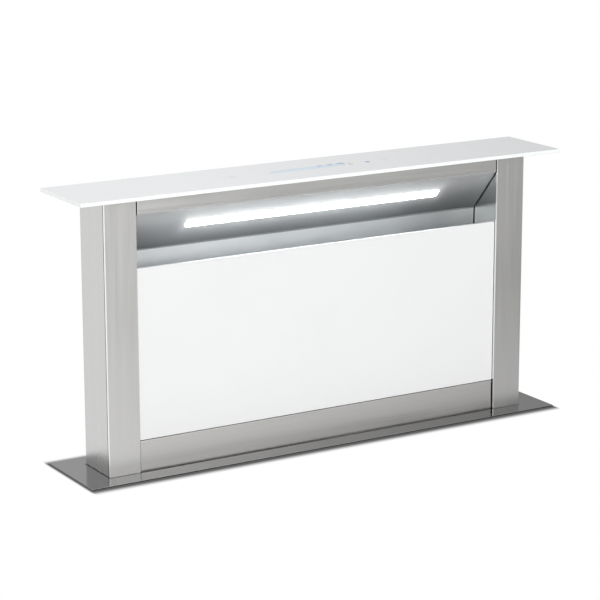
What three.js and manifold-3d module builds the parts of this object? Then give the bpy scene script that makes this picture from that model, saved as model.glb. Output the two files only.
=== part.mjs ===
// Downdraft vent: a worktop extractor whose glass-fronted tower rises out of the worktop.
//
// Millimetres. +Z is up and the tower faces -Y. The origin is the middle of the worktop cut-out,
// at the top of the worktop, and the tower is drawn fully raised.

import * as THREE from 'three';
import { mergeVertices } from 'three/addons/utils/BufferGeometryUtils.js';
import Module from 'manifold-3d';

const wasm = await Module();
wasm.setup();

// ---------------------------------------------------------------- driving dimensions

const SHEET = 1.2; // folded steel sheet of the tower and the chassis
const FIT = 0.3; // gap between pieces that are fastened to each other
const RUNNING = 0.4; // gap between pieces that slide or turn on each other

const LID_LENGTH = 880;
const LID_DEPTH = 144;
const LID_GLASS = 6;
const GLASS_CORNER = 2;
const GLASS_BEVEL = 0.8;
const LID_CARRIER_SHEET = 1.5;
const LID_CARRIER_INSET = 2;
const CARRIER_LIP = 14;

const FLANGE_LENGTH = 870;
const FLANGE_DEPTH = 154;
const FLANGE_SHEET = 1.5;
const FLANGE_CORNER = 1;
const SLOT_CLEARANCE = 1.5; // round the tower, in the flange
const GASKET_THICKNESS = 1.2;
const GASKET_WIDTH = 12;
const GASKET_INSET = 2;
const WIPER_WIDTH = 6;
const WIPER_HEIGHT = 6;

const TOWER_WIDTH = 776;
const TOWER_DEPTH = 84;
const TOWER_RISE = 435; // lid underside above the flange
const TOWER_TAIL = 105; // part of the tower that stays below the worktop

const COLUMN_WIDTH = 54;
const COLUMN_RETURN = 3.5;
const REVEAL = 1.8; // dark joint between a column front and its side panel
const SIDE_PANEL_LIP = 6;
const REAR_LIP = 12;

const BAR_HEIGHT = 27;
const BAR_RETURN = 7;
const BAR_END_GAP = 2;
const WALL_SETBACK = 63.7; // duct wall behind the tower's front face
const WALL_END_GAP = 2.2;
const REFLECTOR_DROP = 69;
const REFLECTOR_LIP = 14;

const LENS_LENGTH = 470;
const LENS_WIDTH = 16;
const LENS_CORNER = 2;
const LENS_SETBACK = 32; // from the reflector's upper edge, down its slope
const LENS_PROUD = 0.8;
const LED_CHANNEL_DEPTH = 11;
const LED_CHANNEL_RIM = 6;
const LED_COUNT = 16;
const LED_SIZE = 5;
const LED_HEIGHT = 1.5;

const TOUCH_LENGTH = 330;
const TOUCH_DEPTH = 36;
const TOUCH_HEIGHT = 8;
const TOUCH_OFFSET = -5; // the controls sit left of the lid's middle
const SENSOR_BORDER = 4;

const PANEL_RECESS = 4; // front glass and lower panel behind the column fronts
const PANEL_END_GAP = 1.5;
const STRIP_END_GAP = 2;
const STRIP_HEIGHT = 49.7; // lower front panel above the flange
const STRIP_RETURN = 10;
const PANEL_GAP = 1.2; // between the lower front panel and the glass
const PANEL_GLASS = 4;
const PANEL_TOP = 323.4; // top of the front glass above the flange

const TRAY_INSET = 8; // glass carrier inside the glass's upper and lower edges
const TRAY_SIDE_INSET = 6; // and inside its ends
const TRAY_DEPTH = 7.2;
const TRAY_SHEET = 1;
const PIVOT_RISE = 32; // hinge pins above the glass's lower edge
const PIVOT_SETBACK = 3; // hinge pins behind the glass carrier's front
const PIVOT_PIN = 1.5; // radius
const PIVOT_REACH = 12;
const STOP_SIZE = 12;
const STOP_SETBACK = 40; // magnet stops below the glass's top edge

const FILTER_PLANE = 42; // filter frame behind the tower's front face
const FILTER_SHELF_BELOW = 21; // its top shelf below the glass's top edge
const FILTER_FLOOR_BELOW = 2.4; // its bottom shelf below the lower panel's top edge
const FILTER_DEPTH = 9;
const FILTER_RAIL = 12;
const FILTER_GAP = 6; // between the two filters
const FILTER_HEADROOM = 7;
const FILTER_MESH = 2.5;
const FILTER_COLUMNS = 8;
const FILTER_ROWS = 6;
const FILTER_STRAND = 6;
const FILTER_WINDOW_BORDER = 14;
const FILTER_TAB = 60;
const FILTER_TAB_REACH = 5;
const FILTER_TAB_HEIGHT = 10;

const BASE_PLATE = 3;
const BASE_OPENING_BORDER = 14;
const BASE_OPENING_DEPTH = 48;
const BASE_OPENING_FORWARD = 6; // its middle, forward of the tower's middle
const BASE_BRIDGE = 20;
const EAR_WIDTH = 26;
const EAR_END_GAP = 3.8;

const CHASSIS_LENGTH = 832;
const CHASSIS_DEPTH = 104;
const CHASSIS_HEIGHT = 560;
const FLOOR_SHEET = 1.5;

const SCREW_RADIUS = 6;
const SCREW_SIDE_GAP = 14; // lead screw axis outside the tower's side
const SCREW_FORWARD = 14; // lead screw axis forward of the tower's middle
const SCREW_TOP = 13; // below the worktop
const SCREW_COLLAR = 9;
const SCREW_COLLAR_HEIGHT = 8;
const NUT_RADIUS = 9;
const NUT_HEIGHT = 20;
const BEARING_DEPTH = 24;
const BEARING_HEIGHT = 12;
const BEARING_INNER_GAP = 4;

const RAIL_REACH = 11.5;
const RAIL_WIDTH = 20;
const RAIL_BACK = 24; // rail centre behind the tower's middle
const RAIL_TOP = 14;
const RAIL_FOOT_GAP = 12;
const SHOE_HEIGHT = 40;
const SHOE_ABOVE_BASE = 2;

const GEARBOX_WIDTH = 30;
const GEARBOX_DEPTH = 32;
const GEARBOX_HEIGHT = 34;
const GEARBOX_BORE = 22;
const SHAFT_RADIUS = 4;
const SHAFT_BELOW = 17; // drive shaft axis below the floor's underside
const SHAFT_ENTRY = 9;
const MOTOR_LENGTH = 60;
const MOTOR_DEPTH = 60;
const MOTOR_CAN = 15; // radius
const MOTOR_CAN_LENGTH = 90;
const MOTOR_CAN_BACK = 28; // motor can axis behind the drive shaft
const COVER_DEPTH = 84;
const COVER_HEIGHT = 38;

const BOX_LENGTH = 400;
const BOX_DEPTH = 215;
const BOX_HEIGHT = 270;
const BOX_ABOVE_FLOOR = 5;
const COVER_LIP = 8;
const INLET_LENGTH = 300;
const INLET_HEIGHT = 180;

const SCROLL_X = 70; // impeller axis from the middle of the vent
const SCROLL_ABOVE = 140; // impeller axis above the box's underside
const SCROLL_START = 88; // radius at the tongue
const SCROLL_END = 140; // radius at the outlet
const SCROLL_TONGUE = 250; // degrees
const SCROLL_WALL = 1.5;
const SCROLL_WIDTH = 120;
const SCROLL_BACK_GAP = 29.7; // between the box's back and the scroll
const SCROLL_STEPS = 36;
const SCROLL_INLET = 62; // radius

const WHEEL_RADIUS = 80;
const WHEEL_INNER = 66;
const WHEEL_WIDTH = 100;
const WHEEL_PLATE = 2.5;
const WHEEL_BLADES = 24;
const BLADE_SHEET = 1.2;
const BLADE_LEAN = 0.35; // radians from radial
const HUB_RADIUS = 14;
const HUB_LENGTH = 30;
const BLOWER_MOTOR_RADIUS = 46;
const BLOWER_MOTOR_LENGTH = 45;
const BLOWER_MOTOR_FOOT = 60; // mounting plate's radius
const BLOWER_FOOT_SHEET = 3;
const BLOWER_SHAFT = 4;

const OUTLET_RADIUS = 74.5; // outside of a spigot for 150 mm duct
const OUTLET_WALL = 2.5;
const OUTLET_LENGTH = 55;
const OUTLET_FLANGE = 85;
const OUTLET_FLANGE_SHEET = 3;
const FLAP_BELOW = 14; // flap hinge below the outlet flange
const FLAP_BAR = 2; // radius
const FLAP_SHEET = 1.2;
const FLAP_RIM_GAP = 1.5;
const FLAP_BAR_GAP = 0.5;

const CONTROL_LEFT = 215;
const CONTROL_LENGTH = 190;
const CONTROL_DEPTH = 50;
const CONTROL_HEIGHT = 170;
const CONTROL_FOOT = 420; // below the worktop
const BOARD_SHEET = 1.6;
const BOARD_INSET = 14; // inside the control box's edges
const BOARD_STANDOFF = 6;
const STANDOFF_RADIUS = 4;
const STANDOFF_INSET = 6;
// On the control board: place from its lower left corner, then length, height and depth.
const TRANSFORMER = [14, 84, 44, 38, 30];
const FILTER_COIL = [70, 92, 26, 26, 22];
const RUN_CAPACITOR = [108, 62, 38, 64, 28];
const RELAY_LIFT_UP = [16, 46, 20, 16, 15];
const RELAY_LIFT_DOWN = [42, 46, 20, 16, 15];
const RELAY_BLOWER = [68, 46, 20, 16, 15];
const TERMINAL_BLOCK = [44, 8, 74, 16, 14];
const BOARD_COMPONENTS = [
  TRANSFORMER, FILTER_COIL, RUN_CAPACITOR, RELAY_LIFT_UP, RELAY_LIFT_DOWN, RELAY_BLOWER, TERMINAL_BLOCK,
];
const GLAND_RADIUS = 11;
const GLAND_THREAD = 8;
const GLAND_BORE = 4;
const GLAND_HEAD = 18;
const GLAND_REACH = 8;

const FOOT_FLANGE = 22;
const FOOT_ROD = 5; // radius
const FOOT_ROD_LENGTH = 100;
const FOOT_ABOVE_FLANGE = 20;
const FOOT_DISC = 13; // radius
const FOOT_DISC_HEIGHT = 6;
const FOOT_BOSS = 9; // radius
const FOOT_BOSS_HEIGHT = 10;

const CLAMP_SHEET = 2;
const CLAMP_WIDTH = 60;
const CLAMP_REACH = 22;
const CLAMP_HEIGHT = 38;
const CLAMP_BELOW = 42; // under a 40 mm worktop
const CLAMP_HOLE = 3.5;

// ---------------------------------------------------------------- levels and faces

const flangeUnder = GASKET_THICKNESS;
const flangeTop = flangeUnder + FLANGE_SHEET;
const lidUnder = flangeTop + TOWER_RISE;
const carrierUnder = lidUnder - LID_CARRIER_SHEET;
const towerTop = carrierUnder - FIT;
const baseUnder = -TOWER_TAIL;
const baseTop = baseUnder + BASE_PLATE;
const towerFoot = baseTop + FIT;

const sideX = TOWER_WIDTH / 2;
const channelX = sideX - COLUMN_WIDTH;
const frontY = -TOWER_DEPTH / 2;
const rearY = TOWER_DEPTH / 2;
const frameFrontY = frontY + COLUMN_RETURN + FIT;
const frameRearY = rearY - SHEET - FIT;
const wallY = frontY + WALL_SETBACK;
const barFoot = lidUnder - BAR_HEIGHT;

const stripY = frontY + PANEL_RECESS;
const stripTop = flangeTop + STRIP_HEIGHT;
const glassFoot = stripTop + PANEL_GAP;
const glassTop = flangeTop + PANEL_TOP;
const glassHalf = channelX - PANEL_END_GAP;
const trayY = stripY + PANEL_GLASS + FIT;
const trayHalf = glassHalf - TRAY_SIDE_INSET;
const pivotY = trayY + PIVOT_SETBACK;
const pivotZ = glassFoot + PIVOT_RISE;
const filterY = frontY + FILTER_PLANE;
const filterShelf = glassTop - FILTER_SHELF_BELOW;
const filterFloor = stripTop - FILTER_FLOOR_BELOW;

const chassisX = CHASSIS_LENGTH / 2;
const chassisY = CHASSIS_DEPTH / 2;
const chassisTop = flangeUnder - FIT;
const floorTop = -CHASSIS_HEIGHT;
const floorUnder = floorTop - FLOOR_SHEET;
const chassisFoot = floorTop + FIT;
const screwX = sideX + SCREW_SIDE_GAP;
const screwY = -SCREW_FORWARD;
const gearboxTop = floorUnder - FIT;
const gearboxOuter = chassisX - SHEET - FIT;
const gearboxInner = gearboxOuter - GEARBOX_WIDTH;
const shaftZ = floorUnder - SHAFT_BELOW;

const boxBack = -chassisY - FIT;
const boxFront = boxBack - BOX_DEPTH;
const boxUnder = floorTop + BOX_ABOVE_FLOOR;
const boxTop = boxUnder + BOX_HEIGHT;
const inletZ = (boxUnder + boxTop) / 2;
const scrollBack = boxBack - SCROLL_BACK_GAP;
const scrollFront = scrollBack - SCROLL_WIDTH;
const scrollY = (scrollBack + scrollFront) / 2;
const scrollZ = boxUnder + SCROLL_ABOVE;
const scrollFoot = boxUnder + SHEET + FIT;
const tongueAngle = THREE.MathUtils.degToRad(SCROLL_TONGUE);
const tongueX = SCROLL_X + SCROLL_START * Math.cos(tongueAngle);
const outletX = (SCROLL_X - SCROLL_END + tongueX) / 2;
const collarTop = boxUnder - FIT;
const collarUnder = collarTop - OUTLET_FLANGE_SHEET;
const flapZ = collarUnder - FLAP_BELOW;
const controlUnder = -CONTROL_FOOT;

const OVERSHOOT = 2; // how far a cutting tool runs past the face that it cuts
const ROUND = 32; // sides of a full circle

// ---------------------------------------------------------------- finishes

const FINISHES = {
  brushedSteel: { color: 0xa9a8a4, roughness: 0.38, metalness: 1 },
  satinSteel: { color: 0x9b9da0, roughness: 0.25, metalness: 1 },
  galvanised: { color: 0x9ea3a6, roughness: 0.5, metalness: 1 },
  turnedSteel: { color: 0x8c8d8f, roughness: 0.3, metalness: 1 },
  whiteGlass: { color: 0xf1f2f3, roughness: 0.08, metalness: 0 },
  lensPlastic: { color: 0xffffff, roughness: 0.4, metalness: 0 },
  aluminium: { color: 0xc3c5c8, roughness: 0.45, metalness: 1 },
  blackPlastic: { color: 0x1b1c1e, roughness: 0.6, metalness: 0 },
  greyPlastic: { color: 0x6e7276, roughness: 0.6, metalness: 0 },
  whitePlastic: { color: 0xe4e4e0, roughness: 0.5, metalness: 0 },
  circuitBoard: { color: 0x1f5a3a, roughness: 0.5, metalness: 0 },
  foam: { color: 0x2a2b2c, roughness: 0.9, metalness: 0 },
};

const vent = new THREE.Group();

function addPart(name, finish, geometry) {
  const mesh = new THREE.Mesh(geometry, new THREE.MeshStandardMaterial(FINISHES[finish]));
  mesh.name = name;
  vent.add(mesh);
}

// ---------------------------------------------------------------- shaping tools

const X = new THREE.Vector3(1, 0, 0);
const Y = new THREE.Vector3(0, 1, 0);
const Z = new THREE.Vector3(0, 0, 1);

// The plane of an outline and the way it is extruded, for each axis of a prism.
const PRISM_FRAMES = {
  x: new THREE.Matrix4().makeBasis(Y, Z, X),
  y: new THREE.Matrix4().makeBasis(X, Z, Y.clone().negate()),
  z: new THREE.Matrix4().makeBasis(X, Y, Z),
};

// Extrudes an outline along an axis. The outline is (y, z) for x, (x, z) for y and (x, y) for z.
function prism(axis, outline, from, to) {
  const shape = outline instanceof THREE.Shape ? outline : new THREE.Shape(outline);
  const geometry = new THREE.ExtrudeGeometry(shape, { depth: to - from, bevelEnabled: false });
  geometry.translate(0, 0, axis === 'y' ? -to : from);
  return geometry.applyMatrix4(PRISM_FRAMES[axis]);
}

function box(x0, x1, y0, y1, z0, z1) {
  const geometry = new THREE.BoxGeometry(x1 - x0, y1 - y0, z1 - z0);
  return geometry.translate((x0 + x1) / 2, (y0 + y1) / 2, (z0 + z1) / 2);
}

// A box given by its middle and its full sizes in x and y.
function block(x, y, length, depth, z0, z1) {
  return box(x - length / 2, x + length / 2, y - depth / 2, y + depth / 2, z0, z1);
}

function points(...pairs) {
  return pairs.map(([a, b]) => new THREE.Vector2(a, b));
}

// Mirrors an outline to the left side of the vent when side is -1.
function onSide(outline, side) {
  return outline.map((point) => new THREE.Vector2(point.x * side, point.y));
}

// The outline of a folded sheet: its outer face follows the path, its thickness lies to the left.
function foldedSheet(path, thickness = SHEET) {
  const leftOf = (a, b) => new THREE.Vector2(a.y - b.y, b.x - a.x).normalize();
  const inner = path.map((point, i) => {
    const before = leftOf(path[Math.max(i, 1) - 1], path[Math.max(i, 1)]);
    const after = leftOf(path[Math.min(i, path.length - 2)], path[Math.min(i, path.length - 2) + 1]);
    const mitre = before.clone().add(after).divideScalar(1 + before.dot(after));
    return point.clone().addScaledVector(mitre, thickness);
  });
  return [...path, ...inner.reverse()];
}

function roundedRectangle(x0, x1, y0, y1, radius) {
  const shape = new THREE.Shape();
  shape.moveTo(x1, y0 + radius);
  shape.absarc(x1 - radius, y1 - radius, radius, 0, Math.PI / 2);
  shape.absarc(x0 + radius, y1 - radius, radius, Math.PI / 2, Math.PI);
  shape.absarc(x0 + radius, y0 + radius, radius, Math.PI, 1.5 * Math.PI);
  shape.absarc(x1 - radius, y0 + radius, radius, 1.5 * Math.PI, 2 * Math.PI);
  return shape;
}

function rectangleHole(shape, x0, x1, y0, y1) {
  shape.holes.push(new THREE.Path(points([x0, y0], [x1, y0], [x1, y1], [x0, y1])));
}

function roundHole(shape, x, y, radius) {
  shape.holes.push(new THREE.Path().absarc(x, y, radius, 0, 2 * Math.PI));
}

// A cylinder along x, y or z: a and b place its axis in the outline plane of a prism.
function rod(axis, a, b, radius, from, to) {
  return prism(axis, new THREE.Shape().absarc(a, b, radius, 0, 2 * Math.PI), from, to);
}

// A turned piece: profile of (radius, height) round the z axis, moved to (x, y).
function turned(profile, x, y) {
  return new THREE.LatheGeometry(points(...profile), ROUND).rotateX(Math.PI / 2).translate(x, y, 0);
}

function toSolid(geometry) {
  const bare = geometry.clone();
  bare.deleteAttribute('normal');
  bare.deleteAttribute('uv');
  const merged = mergeVertices(bare);
  return new wasm.Manifold(new wasm.Mesh({
    numProp: 3,
    vertProperties: merged.attributes.position.array,
    triVerts: new Uint32Array(merged.index.array),
  }));
}

function toGeometry(solid) {
  const mesh = solid.getMesh();
  const geometry = new THREE.BufferGeometry();
  geometry.setAttribute('position', new THREE.BufferAttribute(mesh.vertProperties, 3));
  geometry.setIndex(new THREE.BufferAttribute(mesh.triVerts, 1));
  return geometry;
}

function cut(body, ...tools) {
  return toGeometry(tools.reduce((solid, tool) => solid.subtract(toSolid(tool)), toSolid(body)));
}

function join(body, ...others) {
  return toGeometry(others.reduce((solid, other) => solid.add(toSolid(other)), toSolid(body)));
}

// A box of sheet that is open on one face, named by its direction: '-y', '+y', '+z' or '-z'.
function openBox([x0, x1, y0, y1, z0, z1], open, wall = SHEET) {
  const front = open === '-y' ? y0 - OVERSHOOT : y0 + wall;
  const back = open === '+y' ? y1 + OVERSHOOT : y1 - wall;
  const under = open === '-z' ? z0 - OVERSHOOT : z0 + wall;
  const top = open === '+z' ? z1 + OVERSHOOT : z1 - wall;
  return cut(box(x0, x1, y0, y1, z0, z1), box(x0 + wall, x1 - wall, front, back, under, top));
}

// A glass plate with rounded corners and a fine bevel, lying in its own XY plane.
function glassPlate(x0, x1, y0, y1, thickness) {
  const outline = roundedRectangle(
    x0 + GLASS_BEVEL, x1 - GLASS_BEVEL, y0 + GLASS_BEVEL, y1 - GLASS_BEVEL, GLASS_CORNER - GLASS_BEVEL);
  const geometry = new THREE.ExtrudeGeometry(outline, {
    depth: thickness - 2 * GLASS_BEVEL,
    bevelThickness: GLASS_BEVEL,
    bevelSize: GLASS_BEVEL,
    bevelSegments: 2,
    curveSegments: 4,
  });
  return geometry.translate(0, 0, GLASS_BEVEL);
}

// ---------------------------------------------------------------- lid

function makeLid() {
  const glass = glassPlate(-LID_LENGTH / 2, LID_LENGTH / 2, -LID_DEPTH / 2, LID_DEPTH / 2, LID_GLASS);
  addPart('glass_lid', 'whiteGlass', glass.translate(0, 0, lidUnder));

  const sensorLength = TOUCH_LENGTH - 2 * SENSOR_BORDER;
  const sensorDepth = TOUCH_DEPTH - 2 * SENSOR_BORDER;
  const plate = block(
    0, 0, TOWER_WIDTH - 2 * LID_CARRIER_INSET, TOWER_DEPTH - 2 * LID_CARRIER_INSET, carrierUnder, lidUnder);
  const lipHalf = channelX - PANEL_END_GAP;
  const lipFoot = towerTop - CARRIER_LIP;
  const frontLip = frontY + BAR_RETURN + 2 * FIT;
  const rearLip = wallY - FIT;
  const window = block(
    TOUCH_OFFSET, 0, sensorLength + 2 * FIT, sensorDepth + 2 * FIT,
    carrierUnder - OVERSHOOT, lidUnder + OVERSHOOT);
  const folded = join(
    plate,
    box(-lipHalf, lipHalf, frontLip, frontLip + SHEET, lipFoot, carrierUnder + FIT),
    box(-lipHalf, lipHalf, rearLip - SHEET, rearLip, lipFoot, carrierUnder + FIT));
  addPart('lid_carrier', 'galvanised', cut(folded, window));

  const housingTop = carrierUnder - FIT;
  const housing = block(
    TOUCH_OFFSET, 0, TOUCH_LENGTH, TOUCH_DEPTH, housingTop - TOUCH_HEIGHT, housingTop);
  const sensor = block(
    TOUCH_OFFSET, 0, sensorLength, sensorDepth, housingTop - TOUCH_HEIGHT, lidUnder - FIT);
  addPart('touch_board', 'circuitBoard', join(housing, sensor));
}

// ---------------------------------------------------------------- columns and rear of the tower

function makeColumn(name, side) {
  const front = foldedSheet(points(
    [channelX, frontY + COLUMN_RETURN], [channelX, frontY],
    [sideX, frontY], [sideX, frontY + COLUMN_RETURN]));
  addPart(`column_front_${name}`, 'brushedSteel', prism('z', onSide(front, side), towerFoot, towerTop));

  const lipY = frontY + COLUMN_RETURN + REVEAL;
  const panel = foldedSheet(points(
    [sideX - SIDE_PANEL_LIP, lipY], [sideX, lipY], [sideX, rearY], [sideX - REAR_LIP, rearY]));
  addPart(`side_panel_${name}`, 'brushedSteel', prism('z', onSide(panel, side), towerFoot, towerTop));

  const frameOuter = sideX - SHEET - FIT;
  const frame = foldedSheet(points(
    [frameOuter, frameRearY], [channelX, frameRearY],
    [channelX, frameFrontY], [frameOuter, frameFrontY]));
  const web = [channelX - PIVOT_REACH, channelX + SHEET / 2].map((x) => x * side).sort((a, b) => a - b);
  const pin = rod('x', pivotY, pivotZ, PIVOT_PIN, web[0], web[1]);
  const stopInner = channelX - STOP_SIZE;
  const stopX = [stopInner * side, (channelX + SHEET / 2) * side].sort((a, b) => a - b);
  const stopY = trayY + TRAY_DEPTH + FIT;
  const stopZ = glassTop - STOP_SETBACK;
  const stop = box(stopX[0], stopX[1], stopY, stopY + STOP_SIZE / 2, stopZ, stopZ + STOP_SIZE);
  const uprights = prism('z', onSide(frame, side), towerFoot, towerTop);
  addPart(`column_frame_${name}`, 'satinSteel', join(uprights, pin, stop));
}

function makeRearPanel() {
  const half = sideX - REAR_LIP - FIT;
  addPart('rear_panel', 'brushedSteel', box(-half, half, rearY - SHEET, rearY, towerFoot, towerTop));
}

// ---------------------------------------------------------------- air slot and its light

function makeSlot() {
  const barHalf = channelX - BAR_END_GAP;
  const bar = foldedSheet(points([frontY + BAR_RETURN, towerTop], [frontY, towerTop], [frontY, barFoot]));
  addPart('top_bar', 'brushedSteel', prism('x', bar, -barHalf, barHalf));

  const wallHalf = channelX - WALL_END_GAP;
  addPart('duct_back_wall', 'satinSteel', box(
    -wallHalf, wallHalf, wallY, wallY + SHEET, towerFoot, towerTop));

  const upper = new THREE.Vector2(frontY + SHEET + FIT, barFoot);
  const lower = new THREE.Vector2(wallY - SHEET, barFoot - REFLECTOR_DROP);
  const lip = new THREE.Vector2(upper.x, upper.y + REFLECTOR_LIP);
  const sheet = prism('x', foldedSheet([lip, upper, lower]), -wallHalf, wallHalf);

  // The lens lies in the slope: x along the slot, y down the slope, z through the sheet to its back.
  const slope = new THREE.Vector3(0, lower.x - upper.x, lower.y - upper.y).normalize();
  const onSlope = new THREE.Matrix4().makeBasis(X, slope, X.clone().cross(slope));
  onSlope.setPosition(0, upper.x, upper.y);
  const lensMiddle = LENS_SETBACK + LENS_WIDTH / 2;
  const lensShape = (grow) => roundedRectangle(
    -LENS_LENGTH / 2 - grow, LENS_LENGTH / 2 + grow,
    lensMiddle - LENS_WIDTH / 2 - grow, lensMiddle + LENS_WIDTH / 2 + grow, LENS_CORNER + grow);
  const lensHole = prism('z', lensShape(FIT), -OVERSHOOT, SHEET + OVERSHOOT).applyMatrix4(onSlope);
  addPart('light_reflector', 'satinSteel', cut(sheet, lensHole));
  addPart('led_lens', 'lensPlastic', prism('z', lensShape(0), -LENS_PROUD, SHEET).applyMatrix4(onSlope));

  const channelHalf = LENS_LENGTH / 2 + LED_CHANNEL_RIM;
  const channelFront = SHEET + FIT;
  const channelBack = channelFront + LED_CHANNEL_DEPTH;
  const channel = openBox([
    -channelHalf, channelHalf,
    lensMiddle - LENS_WIDTH / 2 - LED_CHANNEL_RIM, lensMiddle + LENS_WIDTH / 2 + LED_CHANNEL_RIM,
    channelFront, channelBack,
  ], '-z');
  const spacing = LENS_LENGTH / LED_COUNT;
  const floor = channelBack - SHEET;
  const chips = Array.from({ length: LED_COUNT }, (_, i) => block(
    (i + 0.5) * spacing - LENS_LENGTH / 2, lensMiddle,
    LED_SIZE, LED_SIZE, floor - LED_HEIGHT, floor + SHEET / 2));
  addPart('led_board', 'aluminium', join(channel, ...chips).applyMatrix4(onSlope));
}

// ---------------------------------------------------------------- tilting front panel

function makeFrontPanel() {
  const glass = glassPlate(-glassHalf, glassHalf, glassFoot, glassTop, PANEL_GLASS);
  glass.applyMatrix4(PRISM_FRAMES.y).translate(0, stripY + PANEL_GLASS, 0);
  addPart('front_glass', 'whiteGlass', glass);

  const tray = openBox([
    -trayHalf, trayHalf, trayY, trayY + TRAY_DEPTH, glassFoot + TRAY_INSET, glassTop - TRAY_INSET,
  ], '+y', TRAY_SHEET);
  const pinHole = rod('x', pivotY, pivotZ, PIVOT_PIN + RUNNING, -trayHalf - OVERSHOOT, trayHalf + OVERSHOOT);
  addPart('front_glass_carrier', 'galvanised', cut(tray, pinHole));

  const stripHalf = channelX - STRIP_END_GAP;
  const strip = foldedSheet(points(
    [stripY + STRIP_RETURN, stripTop], [stripY, stripTop], [stripY, towerFoot]));
  addPart('lower_front_panel', 'brushedSteel', prism('x', strip, -stripHalf, stripHalf));
}

// ---------------------------------------------------------------- grease filters

function makeFilterFrame() {
  const half = channelX - FIT;
  const profile = foldedSheet(points(
    [wallY - FIT, filterShelf], [filterY, filterShelf],
    [filterY, filterFloor], [stripY + SHEET + FIT, filterFloor]));
  const windows = [-1, 1].map((side) => {
    const edges = [FILTER_WINDOW_BORDER * side, (half - FILTER_WINDOW_BORDER) * side].sort((a, b) => a - b);
    return box(
      edges[0], edges[1], filterY - OVERSHOOT, filterY + SHEET + OVERSHOOT,
      filterFloor + FILTER_WINDOW_BORDER, filterShelf - FILTER_WINDOW_BORDER);
  });
  addPart('filter_frame', 'galvanised', cut(prism('x', profile, -half, half), ...windows));
}

function makeFilter(name, side) {
  const back = filterY - FIT;
  const front = back - FILTER_DEPTH;
  const foot = filterFloor + FIT;
  const top = filterShelf - FILTER_HEADROOM;
  const inner = FILTER_GAP / 2;
  const outer = channelX - FILTER_HEADROOM;
  const [x0, x1] = side > 0 ? [inner, outer] : [-outer, -inner];

  const rails = cut(
    box(x0, x1, front, back, foot, top),
    box(x0 + FILTER_RAIL, x1 - FILTER_RAIL, front - OVERSHOOT, back + OVERSHOOT,
      foot + FILTER_RAIL, top - FILTER_RAIL));

  const [m0, m1] = [x0 + FILTER_RAIL / 2, x1 - FILTER_RAIL / 2];
  const [n0, n1] = [foot + FILTER_RAIL / 2, top - FILTER_RAIL / 2];
  const mesh = new THREE.Shape(points([m0, n0], [m1, n0], [m1, n1], [m0, n1]));
  const pitchX = (m1 - m0 - FILTER_RAIL) / FILTER_COLUMNS;
  const pitchZ = (n1 - n0 - FILTER_RAIL) / FILTER_ROWS;
  for (let column = 0; column < FILTER_COLUMNS; column += 1) {
    for (let row = 0; row < FILTER_ROWS; row += 1) {
      const x = m0 + FILTER_RAIL / 2 + (column + 0.5) * pitchX;
      const z = n0 + FILTER_RAIL / 2 + (row + 0.5) * pitchZ;
      const [w, h] = [(pitchX - FILTER_STRAND) / 2, (pitchZ - FILTER_STRAND) / 2];
      mesh.holes.push(new THREE.Path(points([x - w, z], [x, z - h], [x + w, z], [x, z + h])));
    }
  }
  const meshY = (front + back) / 2;
  const sheet = prism('y', mesh, meshY - FILTER_MESH / 2, meshY + FILTER_MESH / 2);

  const middle = (x0 + x1) / 2;
  const tab = box(
    middle - FILTER_TAB / 2, middle + FILTER_TAB / 2, front - FILTER_TAB_REACH, front + FILTER_DEPTH / 3,
    top - FILTER_TAB_HEIGHT, top - FIT);
  addPart(`grease_filter_${name}`, 'aluminium', join(rails, sheet, tab));
}

// ---------------------------------------------------------------- lift: what rides with the tower

function makeTowerBase() {
  const earX = chassisX - SHEET - EAR_END_GAP;
  const earFront = screwY - EAR_WIDTH / 2;
  const earBack = screwY + EAR_WIDTH / 2;
  const right = points(
    [sideX, frontY], [sideX, earFront], [earX, earFront], [earX, earBack], [sideX, earBack], [sideX, rearY]);
  const plate = prism('z', [...right, ...onSide(right, -1).reverse()], baseUnder, baseTop);
  const openingEdge = channelX - BASE_OPENING_BORDER;
  const openingFront = -BASE_OPENING_FORWARD - BASE_OPENING_DEPTH / 2;
  const [cutFrom, cutTo] = [baseUnder - OVERSHOOT, baseTop + OVERSHOOT];
  const tools = [-1, 1].flatMap((side) => {
    const edges = [side * BASE_BRIDGE / 2, side * openingEdge].sort((a, b) => a - b);
    return [
      box(edges[0], edges[1], openingFront, openingFront + BASE_OPENING_DEPTH, cutFrom, cutTo),
      rod('z', side * screwX, screwY, SCREW_RADIUS + RUNNING, cutFrom, cutTo),
    ];
  });
  addPart('tower_base', 'galvanised', cut(plate, ...tools));
}

function makeLiftRunners(name, side) {
  const nut = new THREE.Shape().absarc(side * screwX, screwY, NUT_RADIUS, 0, 2 * Math.PI);
  roundHole(nut, side * screwX, screwY, SCREW_RADIUS + RUNNING);
  addPart(`lift_nut_${name}`, 'whitePlastic', prism('z', nut, towerFoot, towerFoot + NUT_HEIGHT));

  const shoeInner = sideX + FIT;
  const shoeOuter = chassisX - 2 * SHEET - FIT - RUNNING;
  const shoeHalf = RAIL_WIDTH / 2 - SHEET - RUNNING;
  const [x0, x1] = [shoeInner * side, shoeOuter * side].sort((a, b) => a - b);
  const shoeFoot = towerFoot + SHOE_ABOVE_BASE;
  addPart(`guide_shoe_${name}`, 'whitePlastic', box(
    x0, x1, RAIL_BACK - shoeHalf, RAIL_BACK + shoeHalf, shoeFoot, shoeFoot + SHOE_HEIGHT));
}

// ---------------------------------------------------------------- lift: rails, screws and drive

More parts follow.
